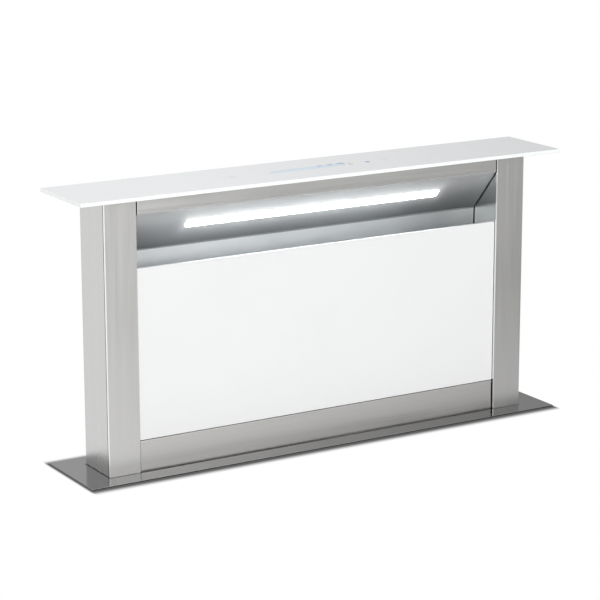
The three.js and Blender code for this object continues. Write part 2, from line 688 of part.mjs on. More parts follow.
function makeLiftGuides(name, side) {
  const railBack = chassisX - SHEET - FIT;
  const rail = foldedSheet(points(
    [railBack - RAIL_REACH, RAIL_BACK - RAIL_WIDTH / 2], [railBack, RAIL_BACK - RAIL_WIDTH / 2],
    [railBack, RAIL_BACK + RAIL_WIDTH / 2], [railBack - RAIL_REACH, RAIL_BACK + RAIL_WIDTH / 2]));
  addPart(`guide_rail_${name}`, 'galvanised', prism(
    'z', onSide(rail, side), floorTop + RAIL_FOOT_GAP, -RAIL_TOP));

  const screwFoot = gearboxTop - GEARBOX_BORE + OVERSHOOT;
  const collarFoot = floorTop + FIT;
  addPart(`lead_screw_${name}`, 'turnedSteel', turned([
    [0, screwFoot], [SCREW_RADIUS, screwFoot],
    [SCREW_RADIUS, collarFoot], [SCREW_COLLAR, collarFoot],
    [SCREW_COLLAR, collarFoot + SCREW_COLLAR_HEIGHT], [SCREW_RADIUS, collarFoot + SCREW_COLLAR_HEIGHT],
    [SCREW_RADIUS, -SCREW_TOP], [0, -SCREW_TOP],
  ], side * screwX, screwY));

  const bearingInner = sideX + BEARING_INNER_GAP;
  const [x0, x1] = [bearingInner * side, railBack * side].sort((a, b) => a - b);
  const bearing = new THREE.Shape(points(
    [x0, screwY - BEARING_DEPTH / 2], [x1, screwY - BEARING_DEPTH / 2],
    [x1, screwY + BEARING_DEPTH / 2], [x0, screwY + BEARING_DEPTH / 2]));
  roundHole(bearing, side * screwX, screwY, SCREW_RADIUS + RUNNING);
  const bearingTop = OVERSHOOT / 2 - SCREW_TOP;
  addPart(`screw_bearing_${name}`, 'whitePlastic', prism(
    'z', bearing, bearingTop - BEARING_HEIGHT, bearingTop));

  const housing = box(
    gearboxInner, gearboxOuter, screwY - GEARBOX_DEPTH / 2, screwY + GEARBOX_DEPTH / 2,
    gearboxTop - GEARBOX_HEIGHT, gearboxTop);
  const screwBore = rod(
    'z', screwX, screwY, SCREW_RADIUS + RUNNING, gearboxTop - GEARBOX_BORE, gearboxTop + OVERSHOOT);
  const shaftBore = rod(
    'x', screwY, shaftZ, SHAFT_RADIUS + RUNNING, gearboxInner - OVERSHOOT, gearboxInner + SHAFT_ENTRY);
  const gearbox = cut(housing, screwBore, shaftBore);
  if (side < 0) {
    gearbox.rotateZ(Math.PI).translate(0, 2 * screwY, 0);
  }
  addPart(`corner_gearbox_${name}`, 'greyPlastic', gearbox);
}

function makeDrive() {
  const shaftHalf = gearboxInner + SHAFT_ENTRY - FIT;
  addPart('drive_shaft', 'turnedSteel', rod('x', screwY, shaftZ, SHAFT_RADIUS, -shaftHalf, shaftHalf));

  const gearbox = block(0, 0, MOTOR_LENGTH, MOTOR_DEPTH, gearboxTop - GEARBOX_HEIGHT, gearboxTop);
  const can = rod(
    'x', screwY + MOTOR_CAN_BACK, shaftZ, MOTOR_CAN, 0, MOTOR_LENGTH / 2 + MOTOR_CAN_LENGTH);
  const bore = rod('x', screwY, shaftZ, SHAFT_RADIUS + RUNNING, -MOTOR_LENGTH, MOTOR_LENGTH);
  addPart('lift_motor', 'blackPlastic', cut(join(gearbox, can), bore));

  addPart('drive_cover', 'galvanised', openBox([
    -chassisX, chassisX, -COVER_DEPTH / 2, COVER_DEPTH / 2, gearboxTop - COVER_HEIGHT, gearboxTop,
  ], '+z'));
}

// ---------------------------------------------------------------- chassis

function makeWorktopTrim() {
  const plate = roundedRectangle(
    -FLANGE_LENGTH / 2, FLANGE_LENGTH / 2, -FLANGE_DEPTH / 2, FLANGE_DEPTH / 2, FLANGE_CORNER);
  const slotX = sideX + SLOT_CLEARANCE;
  const slotY = rearY + SLOT_CLEARANCE;
  rectangleHole(plate, -slotX, slotX, -slotY, slotY);
  addPart('worktop_flange', 'brushedSteel', prism('z', plate, flangeUnder, flangeTop));

  const outerX = FLANGE_LENGTH / 2 - GASKET_INSET;
  const outerY = FLANGE_DEPTH / 2 - GASKET_INSET;
  const gasket = roundedRectangle(-outerX, outerX, -outerY, outerY, FLANGE_CORNER);
  const [innerX, innerY] = [outerX - GASKET_WIDTH, outerY - GASKET_WIDTH];
  rectangleHole(gasket, -innerX, innerX, -innerY, innerY);
  addPart('flange_gasket', 'foam', prism('z', gasket, 0, GASKET_THICKNESS));

  const [wipeX, wipeY] = [sideX + RUNNING, rearY + RUNNING];
  const [edgeX, edgeY] = [wipeX + WIPER_WIDTH, wipeY + WIPER_WIDTH];
  const wiper = new THREE.Shape(points([-edgeX, -edgeY], [edgeX, -edgeY], [edgeX, edgeY], [-edgeX, edgeY]));
  rectangleHole(wiper, -wipeX, wipeX, -wipeY, wipeY);
  addPart('slot_wiper', 'foam', prism('z', wiper, chassisTop - WIPER_HEIGHT, chassisTop));
}

function makeChassis() {
  const inlet = box(
    -INLET_LENGTH / 2, INLET_LENGTH / 2, -chassisY - OVERSHOOT, -chassisY + SHEET + OVERSHOOT,
    inletZ - INLET_HEIGHT / 2, inletZ + INLET_HEIGHT / 2);
  const front = box(-chassisX, chassisX, -chassisY, -chassisY + SHEET, chassisFoot, chassisTop);
  addPart('chassis_front_panel', 'galvanised', cut(front, inlet));
  addPart('chassis_rear_panel', 'galvanised', box(
    -chassisX, chassisX, chassisY - SHEET, chassisY, chassisFoot, chassisTop));

  const floor = new THREE.Shape(points(
    [-chassisX, -chassisY], [chassisX, -chassisY], [chassisX, chassisY], [-chassisX, chassisY]));
  for (const side of [-1, 1]) {
    roundHole(floor, side * screwX, screwY, SCREW_RADIUS + RUNNING);
  }
  addPart('chassis_floor', 'galvanised', prism('z', floor, floorUnder, floorTop));
}

function makeChassisEnd(name, side) {
  const innerX = chassisX - SHEET;
  const halfDepth = chassisY - SHEET - FIT;
  const profile = foldedSheet(points(
    [innerX, chassisTop], [innerX, chassisFoot], [chassisX + FOOT_FLANGE, chassisFoot]));
  const footX = side * (chassisX + FOOT_FLANGE / 2);
  const wall = prism('y', onSide(profile, side), -halfDepth, halfDepth);
  const boss = rod('z', footX, 0, FOOT_BOSS, chassisFoot, chassisFoot + FOOT_BOSS_HEIGHT);
  const thread = rod('z', footX, 0, FOOT_ROD + RUNNING, chassisFoot - OVERSHOOT,
    chassisFoot + FOOT_BOSS_HEIGHT + OVERSHOOT);
  addPart(`chassis_${name}_side`, 'galvanised', cut(join(wall, boss), thread));

  const rodTop = chassisFoot + FOOT_ABOVE_FLANGE;
  const discTop = rodTop - FOOT_ROD_LENGTH;
  addPart(`levelling_foot_${name}`, 'blackPlastic', turned([
    [0, discTop - FOOT_DISC_HEIGHT], [FOOT_DISC, discTop - FOOT_DISC_HEIGHT],
    [FOOT_DISC, discTop - FOOT_DISC_HEIGHT / 2], [FOOT_ROD, discTop], [FOOT_ROD, rodTop], [0, rodTop],
  ], footX, 0));

  const legX = chassisX + FIT;
  const bracket = foldedSheet(points(
    [legX + CLAMP_REACH, -CLAMP_BELOW], [legX, -CLAMP_BELOW],
    [legX, -CLAMP_BELOW - CLAMP_HEIGHT]), CLAMP_SHEET);
  const hole = rod('z', side * (legX + CLAMP_REACH / 2), 0, CLAMP_HOLE,
    -CLAMP_BELOW - CLAMP_SHEET - OVERSHOOT, -CLAMP_BELOW + OVERSHOOT);
  addPart(`worktop_clamp_${name}`, 'galvanised', cut(
    prism('y', onSide(bracket, side), -CLAMP_WIDTH / 2, CLAMP_WIDTH / 2), hole));
}

// ---------------------------------------------------------------- blower

// The scroll's outline in (x, z): a spiral from the tongue to the outlet, then straight down.
function scrollOutline(grow, foot) {
  const outline = [new THREE.Vector2(tongueX + grow, foot)];
  const endAngle = 3 * Math.PI;
  for (let step = 0; step <= SCROLL_STEPS; step += 1) {
    const share = step / SCROLL_STEPS;
    const angle = tongueAngle + (endAngle - tongueAngle) * share;
    const radius = SCROLL_START + (SCROLL_END - SCROLL_START) * share + grow;
    const x = step === 0 ? tongueX + grow : SCROLL_X + radius * Math.cos(angle);
    outline.push(new THREE.Vector2(x, scrollZ + radius * Math.sin(angle)));
  }
  outline.push(new THREE.Vector2(SCROLL_X - SCROLL_END - grow, foot));
  return outline;
}

function makeBlowerCase() {
  const half = BOX_LENGTH / 2;
  const shell = openBox([-half, half, boxFront, boxBack, boxUnder, boxTop], '-y');
  const inlet = box(
    -INLET_LENGTH / 2, INLET_LENGTH / 2, boxBack - SHEET - OVERSHOOT, boxBack + OVERSHOOT,
    inletZ - INLET_HEIGHT / 2, inletZ + INLET_HEIGHT / 2);
  const outlet = box(
    SCROLL_X - SCROLL_END, tongueX, scrollFront + SCROLL_WALL, scrollBack - SCROLL_WALL,
    boxUnder - OVERSHOOT, boxUnder + SHEET + OVERSHOOT);
  addPart('blower_box', 'galvanised', cut(shell, inlet, outlet));

  const edge = FIT + SHEET;
  addPart('blower_box_cover', 'galvanised', openBox([
    -half - edge, half + edge, boxFront - edge, boxFront + COVER_LIP, boxUnder - edge, boxTop + edge,
  ], '+y'));

  const outer = prism('y', scrollOutline(SCROLL_WALL, scrollFoot), scrollFront, scrollBack);
  const inner = prism(
    'y', scrollOutline(0, scrollFoot - OVERSHOOT), scrollFront + SCROLL_WALL, scrollBack - SCROLL_WALL);
  const mouth = rod('y', SCROLL_X, scrollZ, SCROLL_INLET, scrollBack - OVERSHOOT, scrollBack + OVERSHOOT);
  const shaftHole = rod(
    'y', SCROLL_X, scrollZ, HUB_RADIUS, scrollFront - OVERSHOOT, scrollFront + 2 * OVERSHOOT);
  addPart('blower_scroll', 'galvanised', cut(outer, inner, mouth, shaftHole));
}

function makeBlowerWheel() {
  const ring = (radius, y0, y1) => rod('y', SCROLL_X, scrollZ, radius, y0, y1);
  const wheelFront = scrollY - WHEEL_WIDTH / 2;
  const wheelBack = scrollY + WHEEL_WIDTH / 2;
  const bladeMiddle = (WHEEL_RADIUS + WHEEL_INNER) / 2;
  const blades = Array.from({ length: WHEEL_BLADES }, (_, i) => {
    const blade = new THREE.BoxGeometry(WHEEL_RADIUS - WHEEL_INNER, WHEEL_WIDTH - WHEEL_PLATE, BLADE_SHEET);
    blade.rotateY(BLADE_LEAN).translate(bladeMiddle, 0, 0).rotateY(i * 2 * Math.PI / WHEEL_BLADES);
    return blade.translate(SCROLL_X, scrollY, scrollZ);
  });
  const plate = ring(WHEEL_RADIUS, wheelFront, wheelFront + WHEEL_PLATE);
  const rim = cut(
    ring(WHEEL_RADIUS, wheelBack - WHEEL_PLATE, wheelBack),
    ring(WHEEL_INNER, wheelBack - WHEEL_PLATE - OVERSHOOT, wheelBack + OVERSHOOT));
  const hub = ring(HUB_RADIUS, wheelFront, wheelFront + HUB_LENGTH);
  const bore = ring(BLOWER_SHAFT + FIT, wheelFront - OVERSHOOT, wheelFront + HUB_LENGTH + OVERSHOOT);
  addPart('impeller', 'blackPlastic', cut(join(plate, hub, rim, ...blades), bore));

  const motorBack = scrollFront - FIT;
  const footFront = motorBack - BLOWER_FOOT_SHEET;
  addPart('blower_motor', 'greyPlastic', join(
    ring(BLOWER_MOTOR_FOOT, footFront, motorBack),
    ring(BLOWER_MOTOR_RADIUS, motorBack - BLOWER_MOTOR_LENGTH, footFront + FIT),
    ring(BLOWER_SHAFT, footFront, wheelFront + HUB_LENGTH)));
}

function makeOutlet() {
  const inner = OUTLET_RADIUS - OUTLET_WALL;
  const foot = collarUnder - OUTLET_LENGTH;
  const spigot = turned([
    [inner, foot], [OUTLET_RADIUS, foot], [OUTLET_RADIUS, collarUnder],
    [OUTLET_FLANGE, collarUnder], [OUTLET_FLANGE, collarTop], [inner, collarTop], [inner, foot],
  ], outletX, scrollY);
  const barHalf = OUTLET_RADIUS - OUTLET_WALL / 2;
  const bar = rod('x', scrollY, flapZ, FLAP_BAR, outletX - barHalf, outletX + barHalf);
  addPart('outlet_collar', 'blackPlastic', join(spigot, bar));

  const flapRadius = inner - FLAP_RIM_GAP;
  const edge = Math.asin((FLAP_BAR + FLAP_BAR_GAP) / flapRadius);
  for (const [name, turn] of [['rear', 0], ['front', Math.PI]]) {
    const half = new THREE.Shape().absarc(0, 0, flapRadius, edge, Math.PI - edge);
    const flap = prism('z', half, -FLAP_SHEET / 2, FLAP_SHEET / 2);
    addPart(`backdraft_flap_${name}`, 'greyPlastic', flap.rotateZ(turn).translate(outletX, scrollY, flapZ));
  }
}

// ---------------------------------------------------------------- control box

function makeControls() {
  const [x0, x1] = [CONTROL_LEFT, CONTROL_LEFT + CONTROL_LENGTH];
  const controlFront = boxBack - CONTROL_DEPTH;
  const controlTop = controlUnder + CONTROL_HEIGHT;
  const glandX = (x0 + x1) / 2;
  const glandY = boxBack - CONTROL_DEPTH / 2;
  const shell = openBox([x0, x1, controlFront, boxBack, controlUnder, controlTop], '+y');
  const entry = rod(
    'z', glandX, glandY, GLAND_THREAD + FIT, controlUnder - OVERSHOOT, controlUnder + SHEET + OVERSHOOT);
  addPart('control_box', 'galvanised', cut(shell, entry));

  const boardBack = boxBack - BOARD_STANDOFF;
  const boardFront = boardBack - BOARD_SHEET;
  const [bx0, bx1] = [x0 + BOARD_INSET, x1 - BOARD_INSET];
  const [bz0, bz1] = [controlUnder + BOARD_INSET, controlTop - BOARD_INSET];
  const board = box(bx0, bx1, boardFront, boardBack, bz0, bz1);
  const standoffs = [[bx0, bz0], [bx1, bz0], [bx0, bz1], [bx1, bz1]].map(([x, z]) => rod(
    'y', x + Math.sign(glandX - x) * STANDOFF_INSET, z + Math.sign(bz0 + bz1 - 2 * z) * STANDOFF_INSET,
    STANDOFF_RADIUS, boardFront, boxBack));
  const components = BOARD_COMPONENTS.map(([x, z, length, height, depth]) => box(
    bx0 + x, bx0 + x + length, boardFront - depth, boardFront + BOARD_SHEET / 2,
    bz0 + z, bz0 + z + height));
  addPart('control_board', 'circuitBoard', join(board, ...standoffs, ...components));

  const headTop = controlUnder - FIT;
  addPart('mains_gland', 'blackPlastic', turned([
    [GLAND_BORE, headTop - GLAND_HEAD], [GLAND_RADIUS, headTop - GLAND_HEAD], [GLAND_RADIUS, headTop],
    [GLAND_THREAD, headTop], [GLAND_THREAD, controlUnder + GLAND_REACH],
    [GLAND_BORE, controlUnder + GLAND_REACH], [GLAND_BORE, headTop - GLAND_HEAD],
  ], glandX, glandY));
}

// ---------------------------------------------------------------- assembly

makeLid();
makeRearPanel();
makeSlot();
makeFrontPanel();
makeFilterFrame();
makeTowerBase();
makeDrive();
makeWorktopTrim();
makeChassis();
makeBlowerCase();
makeBlowerWheel();
makeOutlet();
makeControls();
for (const [name, side] of [['left', -1], ['right', 1]]) {
  makeColumn(name, side);
  makeFilter(name, side);
  makeLiftRunners(name, side);
  makeLiftGuides(name, side);
  makeChassisEnd(name, side);
}

export default vent;
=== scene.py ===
"""The looks of a worktop downdraft vent, raised, seen from its front left.

Metres, +Z up, the tower faces -Y, and the worktop's top face is z = 0. The pieces that show above
the worktop are modelled here over the solids of the same place; the rest keep their solids and get
their finishes here.
"""

import math

import bmesh
import bpy
from mathutils import Matrix, Vector


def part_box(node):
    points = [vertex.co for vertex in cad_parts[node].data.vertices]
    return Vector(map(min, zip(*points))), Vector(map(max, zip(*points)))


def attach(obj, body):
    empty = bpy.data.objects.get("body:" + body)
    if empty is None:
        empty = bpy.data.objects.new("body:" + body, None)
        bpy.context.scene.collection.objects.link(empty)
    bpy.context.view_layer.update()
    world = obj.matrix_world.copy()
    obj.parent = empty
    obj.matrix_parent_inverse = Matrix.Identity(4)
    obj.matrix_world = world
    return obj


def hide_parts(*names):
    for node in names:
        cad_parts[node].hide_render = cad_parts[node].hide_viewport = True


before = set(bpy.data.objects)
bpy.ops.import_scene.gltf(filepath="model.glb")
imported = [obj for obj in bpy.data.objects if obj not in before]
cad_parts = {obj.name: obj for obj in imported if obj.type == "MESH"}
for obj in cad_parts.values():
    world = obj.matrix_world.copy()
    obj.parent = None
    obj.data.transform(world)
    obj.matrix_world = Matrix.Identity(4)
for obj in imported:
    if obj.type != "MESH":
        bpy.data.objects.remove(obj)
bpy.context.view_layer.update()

MM = 0.001

# ------------------------------------------------------------------ sizes

SHEET = 1.2 * MM
FOLD = 0.9 * MM  # outer radius of a folded edge
FINE_EDGE = 0.35 * MM  # broken edge of a plate

LID_CORNER = 2 * MM
GLASS_EDGE = 1.0 * MM
FRONT_GLASS_SPREAD = 0.7 * MM  # the ground rim that stands past the solid's ends
WALL_SPREAD = 0.8 * MM

SIDE_PANEL_LIP = 6 * MM
REAR_LIP = 12 * MM
BAR_HEM = 1.7 * MM
REFLECTOR_LIP = 14 * MM
REFLECTOR_HEM = 3 * MM
LENS_LENGTH = 470 * MM
LENS_WIDTH = 16 * MM
LENS_SETBACK = 32 * MM  # down the slope from its fold
LENS_CORNER = 4 * MM
LENS_DOME = 0.8 * MM
LENS_ROUNDING = 0.9  # of the dome
LENS_GAP = 0.3 * MM
LENS_HOLE_REACH = 6 * MM  # of the hole's tool, to each side of the sheet

FLANGE_CORNER = 1 * MM
SLOT_CLEARANCE = 1.5 * MM
CUTOUT_LENGTH = 846 * MM
CUTOUT_DEPTH = 118 * MM

FILTER_RAIL = 12 * MM
FILTER_SETBACK = 5 * MM  # of the rails behind the tab's face
FILTER_EDGE = 1.2 * MM
FILTER_CELL = 9 * MM
FILTER_STRAND = 1.1 * MM
TAB_HALF = 30 * MM
TAB_HEIGHT = 10 * MM
TAB_SEAT = 0.5 * MM  # sunk into the rail, and clear of its top
TAB_CORNER = 3 * MM
TAB_EDGE = 0.8 * MM

THREAD_LEAD = 20 * MM
THREAD_STARTS = 4
THREAD_DEPTH = 1.2 * MM
THREAD_SINK = 1.3  # depth of the ridge, which starts in the core, as a share of the thread's
THREAD_CREST = 1.5 * MM
THREAD_ROOT = 3.2 * MM
THREAD_RADIUS = 6 * MM
THREAD_STEPS = 24
CORE_SIDES = 32
COLLAR_RADIUS = 9 * MM
COLLAR_HEIGHT = 8 * MM
COLLAR_LIFT = 0.3 * MM
COLLAR_EDGE = 0.6 * MM

SCREW_HEAD = 3.6 * MM  # radius
SCREW_SOCKET = 1.6 * MM  # radius
SCREW_SIDES = 16
SCREW_RISE = 1.3 * MM
FLAT_RISE = 0.3 * MM
SOCKET_DEPTH = 0.6  # of the rise
HEAD_ROUNDING = 0.45  # of the rise
SCREW_INSET = 9 * MM
COVER_INSET = 20 * MM
REAR_SCREW_FOOT = 45 * MM
REAR_SCREW_PITCH = 120 * MM
REAR_SCREW_COUNT = 4  # up each edge
REAR_TOP_PITCH = 220 * MM
CHASSIS_SCREW_COUNT = 5  # down each edge

# printed marks, placed from the middle of the lid
INLAY = 0.08 * MM  # above the glass
MARK_LINE = 1.1 * MM
MARK_ROUNDING = 0.45  # of a line's width
RING_SIDES = 40
SLIDER_FOOT = Vector((-82 * MM, -9.5 * MM)), Vector((60 * MM, -8 * MM))
SLIDER_HEAD = Vector((-75 * MM, 3 * MM)), Vector((68 * MM, 7.5 * MM))
SLIDER_CORNER = 2 * MM
DASHES = ((0.62, 0.07), (0.75, 0.07), (0.88, 0.11))  # start and length, as shares of the slider's
DASH_WIDTH = 4 * MM
DASH_DROP = 0.6 * MM
TICK_TOP = (73 * MM, 6 * MM)
TICK_FOOT = (68 * MM, -10 * MM)
TICK_END = (75 * MM, -5 * MM)
DOT_START = (99 * MM, -4 * MM)
DOT_END = (108 * MM, -4 * MM)
DOT_WIDTH = 8 * MM
SYMBOL_LINE = 0.8 * MM
FAN_CENTRE = (-145 * MM, -1 * MM)
FAN_RADIUS = 6 * MM
FAN_BLADES = 3
BLADE_LENGTH = 4 * MM
BLADE_WIDTH = 1.8 * MM
BULB_CENTRE = (140 * MM, 1 * MM)
BULB_RADIUS = 4 * MM
BULB_RAYS = 4
RAY_START = 5 * MM
RAY_END = 7.5 * MM

# ------------------------------------------------------------------ picking and shading

X, Y, Z = range(3)
ALONG = 0.9  # from this share up, a direction counts as along an axis
ACROSS = 0.1  # up to this share, a direction counts as across an axis
ON_EDGE = 0.9  # from this share up, a place counts as on an outer edge
SIDEWAYS = 0.3  # a fold gets a painted highlight where it leans this much to the side
SHARP_ANGLE = math.radians(30)
SMOOTH_ANGLE = math.radians(35)
NORMAL_WEIGHT = 90  # large flat faces keep their own normal beside a rounded edge


# ------------------------------------------------------------------ modelling by hand

def deselect_all():
    """Leaves edit mode and deselects every object."""
    if bpy.context.mode != "OBJECT":
        bpy.ops.object.mode_set(mode="OBJECT")
    bpy.ops.object.select_all(action="DESELECT")


def make_active(piece):
    """Selects one object and nothing else."""
    deselect_all()
    piece.select_set(True)
    bpy.context.view_layer.objects.active = piece


def apply_place(piece):
    """Puts the object's place, turn and scale into its mesh."""
    make_active(piece)
    bpy.ops.object.transform_apply(location=True, rotation=True, scale=True)


def add_block(name, low, high):
    """Adds a cube stretched between two corners."""
    deselect_all()
    low, high = Vector(low), Vector(high)
    bpy.ops.mesh.primitive_cube_add(size=1, location=(low + high) / 2)
    piece = bpy.context.object
    piece.name = name
    piece.scale = high - low
    apply_place(piece)
    return piece


def add_cylinder(name, centre, radius, height, sides):
    """Adds an upright cylinder that stands on its centre point."""
    deselect_all()
    middle = Vector(centre) + Vector((0, 0, height / 2))
    bpy.ops.mesh.primitive_cylinder_add(
        vertices=sides, radius=radius, depth=height, location=middle)
    piece = bpy.context.object
    piece.name = name
    apply_place(piece)
    return piece


def start_edit(piece, kind):
    """Enters edit mode with nothing selected. kind is VERT, EDGE or FACE."""
    make_active(piece)
    bpy.ops.object.mode_set(mode="EDIT")
    bpy.ops.mesh.select_mode(type=kind)
    bpy.ops.mesh.select_all(action="DESELECT")


def end_edit():
    bpy.ops.object.mode_set(mode="OBJECT")


def edit_mesh():
    mesh = bmesh.from_edit_mesh(bpy.context.object.data)
    mesh.faces.ensure_lookup_table()
    return mesh


def pick_faces(test):
    """Selects the faces whose middle and normal pass the test."""
    mesh = edit_mesh()
    for face in mesh.faces:
        face.select_set(bool(test(face.calc_center_median(), face.normal)))
    bmesh.update_edit_mesh(bpy.context.object.data)


def pick_edges(test):
    """Selects the edges whose middle and direction pass the test."""
    mesh = edit_mesh()
    for edge in mesh.edges:
        start, end = (vertex.co for vertex in edge.verts)
        edge.select_set(bool(test((start + end) / 2, (end - start).normalized())))
    bmesh.update_edit_mesh(bpy.context.object.data)


def pick_all():
    bpy.ops.mesh.select_all(action="SELECT")


def is_along(way, axis):
    return abs(way[axis]) > ALONG


def is_across(way, axis):
    return abs(way[axis]) < ACROSS


def delete_faces(piece, test):
    start_edit(piece, "FACE")
    pick_faces(test)
    bpy.ops.mesh.delete(type="FACE")
    end_edit()


def bevel_edges(piece, test, radius, segments):
    """Rounds the edges that pass the test."""
    start_edit(piece, "EDGE")
    pick_edges(test)
    bpy.ops.mesh.bevel(offset=radius, segments=segments, affect="EDGES", clamp_overlap=True)
    end_edit()


def use_modifier(piece, kind, **settings):
    """Adds a modifier with these settings and applies it."""
    make_active(piece)
    modifier = piece.modifiers.new(kind.title(), kind)
    for name, value in settings.items():
        setattr(modifier, name, value)
    bpy.ops.object.modifier_apply(modifier=modifier.name)


def round_along(piece, axis, radius, segments):
    """Rounds the edges that run along an axis."""
    bevel_edges(piece, lambda middle, way: is_along(way, axis), radius, segments)


def round_all(piece, radius, segments):
    """Rounds every sharp edge of a piece."""
    use_modifier(
        piece, "BEVEL", width=radius, segments=segments,
        limit_method="ANGLE", angle_limit=SHARP_ANGLE)


def thicken(piece):
    """Gives an open shell its sheet thickness, inwards."""
    use_modifier(piece, "SOLIDIFY", thickness=SHEET, offset=-1, use_even_offset=True)


def delete_piece(piece):
    bpy.data.objects.remove(piece, do_unlink=True)


def cut_away(piece, tool):
    """Cuts a tool's shape out of a piece and deletes the tool."""
    use_modifier(piece, "BOOLEAN", object=tool, operation="DIFFERENCE", solver="EXACT")
    delete_piece(tool)


def join_pieces(pieces):
    """Makes one object of several. The first one keeps its name."""
    deselect_all()
    for piece in pieces:
        piece.select_set(True)
    bpy.context.view_layer.objects.active = pieces[0]
    bpy.ops.object.join()
    return pieces[0]


def copy_to(piece, name, move):
    """Copies a piece with its own mesh, moved in its mesh."""
    twin = piece.copy()
    twin.data = piece.data.copy()
    twin.name = name
    bpy.context.collection.objects.link(twin)
    twin.data.transform(move)
    return twin


def open_window(piece, axis, rail):
    """Opens a plate along its thin axis and leaves a rail of this width all round."""
    start_edit(piece, "FACE")
    pick_faces(lambda middle, normal: is_along(normal, axis))
    bpy.ops.mesh.inset(thickness=rail)
    bpy.ops.mesh.bridge_edge_loops()
    end_edit()


def finish_piece(piece, body, slot, material, *nodes):
    """Shades a piece, gives it its finish, ties it to its body and hides the solids it stands for.

    slot names the record's material slot that the finish belongs to; it is not used.
    """
    make_active(piece)
    bpy.ops.object.shade_smooth_by_angle(angle=SMOOTH_ANGLE)
    use_modifier(piece, "WEIGHTED_NORMAL", keep_sharp=True, weight=NORMAL_WEIGHT)
    piece.data.materials.clear()
    piece.data.materials.append(material)
    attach(piece, body)
    if nodes:
        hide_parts(*nodes)


def finish_faces(piece, material, test):
    """Gives the faces that pass the test a finish of their own."""
    piece.data.materials.append(material)
    start_edit(piece, "FACE")
    pick_faces(test)
    piece.active_material_index = len(piece.data.materials) - 1
    bpy.ops.object.material_slot_assign()
    end_edit()


# ------------------------------------------------------------------ material tools

NOISE_LOW, NOISE_HIGH = 0.3, 0.7  # nearly all of a noise pattern lies between these


def link_or_set(tree, socket, value):
    if isinstance(value, bpy.types.NodeSocket):
        tree.links.new(value, socket)
    else:
        socket.default_value = value


def add_node(tree, kind, inputs=None, **settings):
    """Adds a node, sets its properties, and sets or links its inputs by name or number."""
    item = tree.nodes.new(kind)
    for name, value in settings.items():
        setattr(item, name, value)
    for name, value in (inputs or {}).items():
        link_or_set(tree, item.inputs[name], value)
    return item


def calculate(tree, operation, first, second=0.0, clamp=False):
    item = add_node(
        tree, "ShaderNodeMath", {0: first, 1: second}, operation=operation, use_clamp=clamp)
    return item.outputs[0]


def combine(tree, operation, first, second=(0, 0, 0), third=(0, 0, 0)):
    """A vector sum, product or the like."""
    item = add_node(
        tree, "ShaderNodeVectorMath", {0: first, 1: second, 2: third}, operation=operation)
    return item.outputs["Value" if operation in ("DOT_PRODUCT", "LENGTH") else "Vector"]


def blend_colours(tree, factor, first, second):
    """Mixes two colours. The node keeps the sockets of its colours at 6 and 7."""
    item = add_node(tree, "ShaderNodeMix", {0: factor}, data_type="RGBA")
    link_or_set(tree, item.inputs[6], first)
    link_or_set(tree, item.inputs[7], second)
    return item.outputs[2]


def remap(tree, value, low, high, to_low, to_high):
    item = add_node(tree, "ShaderNodeMapRange", {0: value, 1: low, 2: high, 3: to_low, 4: to_high})
    return item.outputs[0]


def spread(tree, pattern, to_low, to_high):
    """Stretches the usual range of a noise pattern to the given one."""
    return remap(tree, pattern, NOISE_LOW, NOISE_HIGH, to_low, to_high)


def new_group(name, inputs, outputs):
    """Starts a node group with named sockets: each is (label, type, default) or (label, type)."""
    group = bpy.data.node_groups.new(name, "ShaderNodeTree")
    for label, kind, default in inputs:
        socket = group.interface.new_socket(
            name=label, in_out="INPUT", socket_type=f"NodeSocket{kind}")
        socket.default_value = default
    for label, kind in outputs:
        group.interface.new_socket(
            name=label, in_out="OUTPUT", socket_type=f"NodeSocket{kind}")
    given = group.nodes.new("NodeGroupInput")
    result = group.nodes.new("NodeGroupOutput")
    return group, given.outputs, result.inputs


def use_group(tree, group, **values):
    """Places a group in a material. Its inputs are named in small letters."""
    item = add_node(tree, "ShaderNodeGroup", node_tree=group)
    for name, value in values.items():
        link_or_set(tree, item.inputs[name.capitalize()], value)
    return item.outputs


def object_place(tree):
    return add_node(tree, "ShaderNodeTexCoord").outputs["Object"]


def object_axis(tree, axis):
    return add_node(tree, "ShaderNodeSeparateXYZ", {0: object_place(tree)}).outputs[axis]


# ------------------------------------------------------------------ shared effects

def make_brush_group():
    """Fine lines left by an abrasive belt, drawn out along one axis by Stretch."""
    group, given, out = new_group(
        "brush_lines",
        [("Stretch", "Vector", (300, 300, 4))],
        [("Lines", "Float"), ("Bands", "Float")])
    stretched = combine(group, "MULTIPLY", object_place(group), given["Stretch"])
    for label, scale, detail, roughness in (("Lines", 1.0, 4.0, 0.62), ("Bands", 0.16, 2.0, 0.5)):
        pattern = add_node(group, "ShaderNodeTexNoise", {
            "Vector": stretched, "Scale": scale, "Detail": detail, "Roughness": roughness})
        group.links.new(pattern.outputs["Fac"], out[label])
    return group


def make_edge_group():
    """A mask of the worn outer edges, from how far a rounded normal leaves the true one."""
    group, given, out = new_group(
        "edge_mask", [("Radius", "Float", 0.8 * MM), ("Gain", "Float", 3.0)], [("Mask", "Float")])
    rounded = add_node(group, "ShaderNodeBevel", {"Radius": given["Radius"]}, samples=4)
    true_normal = add_node(group, "ShaderNodeNewGeometry").outputs["Normal"]
    facing = combine(group, "DOT_PRODUCT", rounded.outputs[0], true_normal)
    turned = calculate(group, "SUBTRACT", 1.0, facing)
    mask = calculate(group, "MULTIPLY", turned, given["Gain"], clamp=True)
    group.links.new(mask, out["Mask"])
    return group


def make_noise_group(name, label, detail, roughness):
    """Plain noise of a given scale."""
    group, given, out = new_group(name, [("Scale", "Float", 1.0)], [(label, "Float")])
    pattern = add_node(group, "ShaderNodeTexNoise", {
        "Vector": object_place(group), "Scale": given["Scale"],
        "Detail": detail, "Roughness": roughness})
    group.links.new(pattern.outputs["Fac"], out[label])
    return group


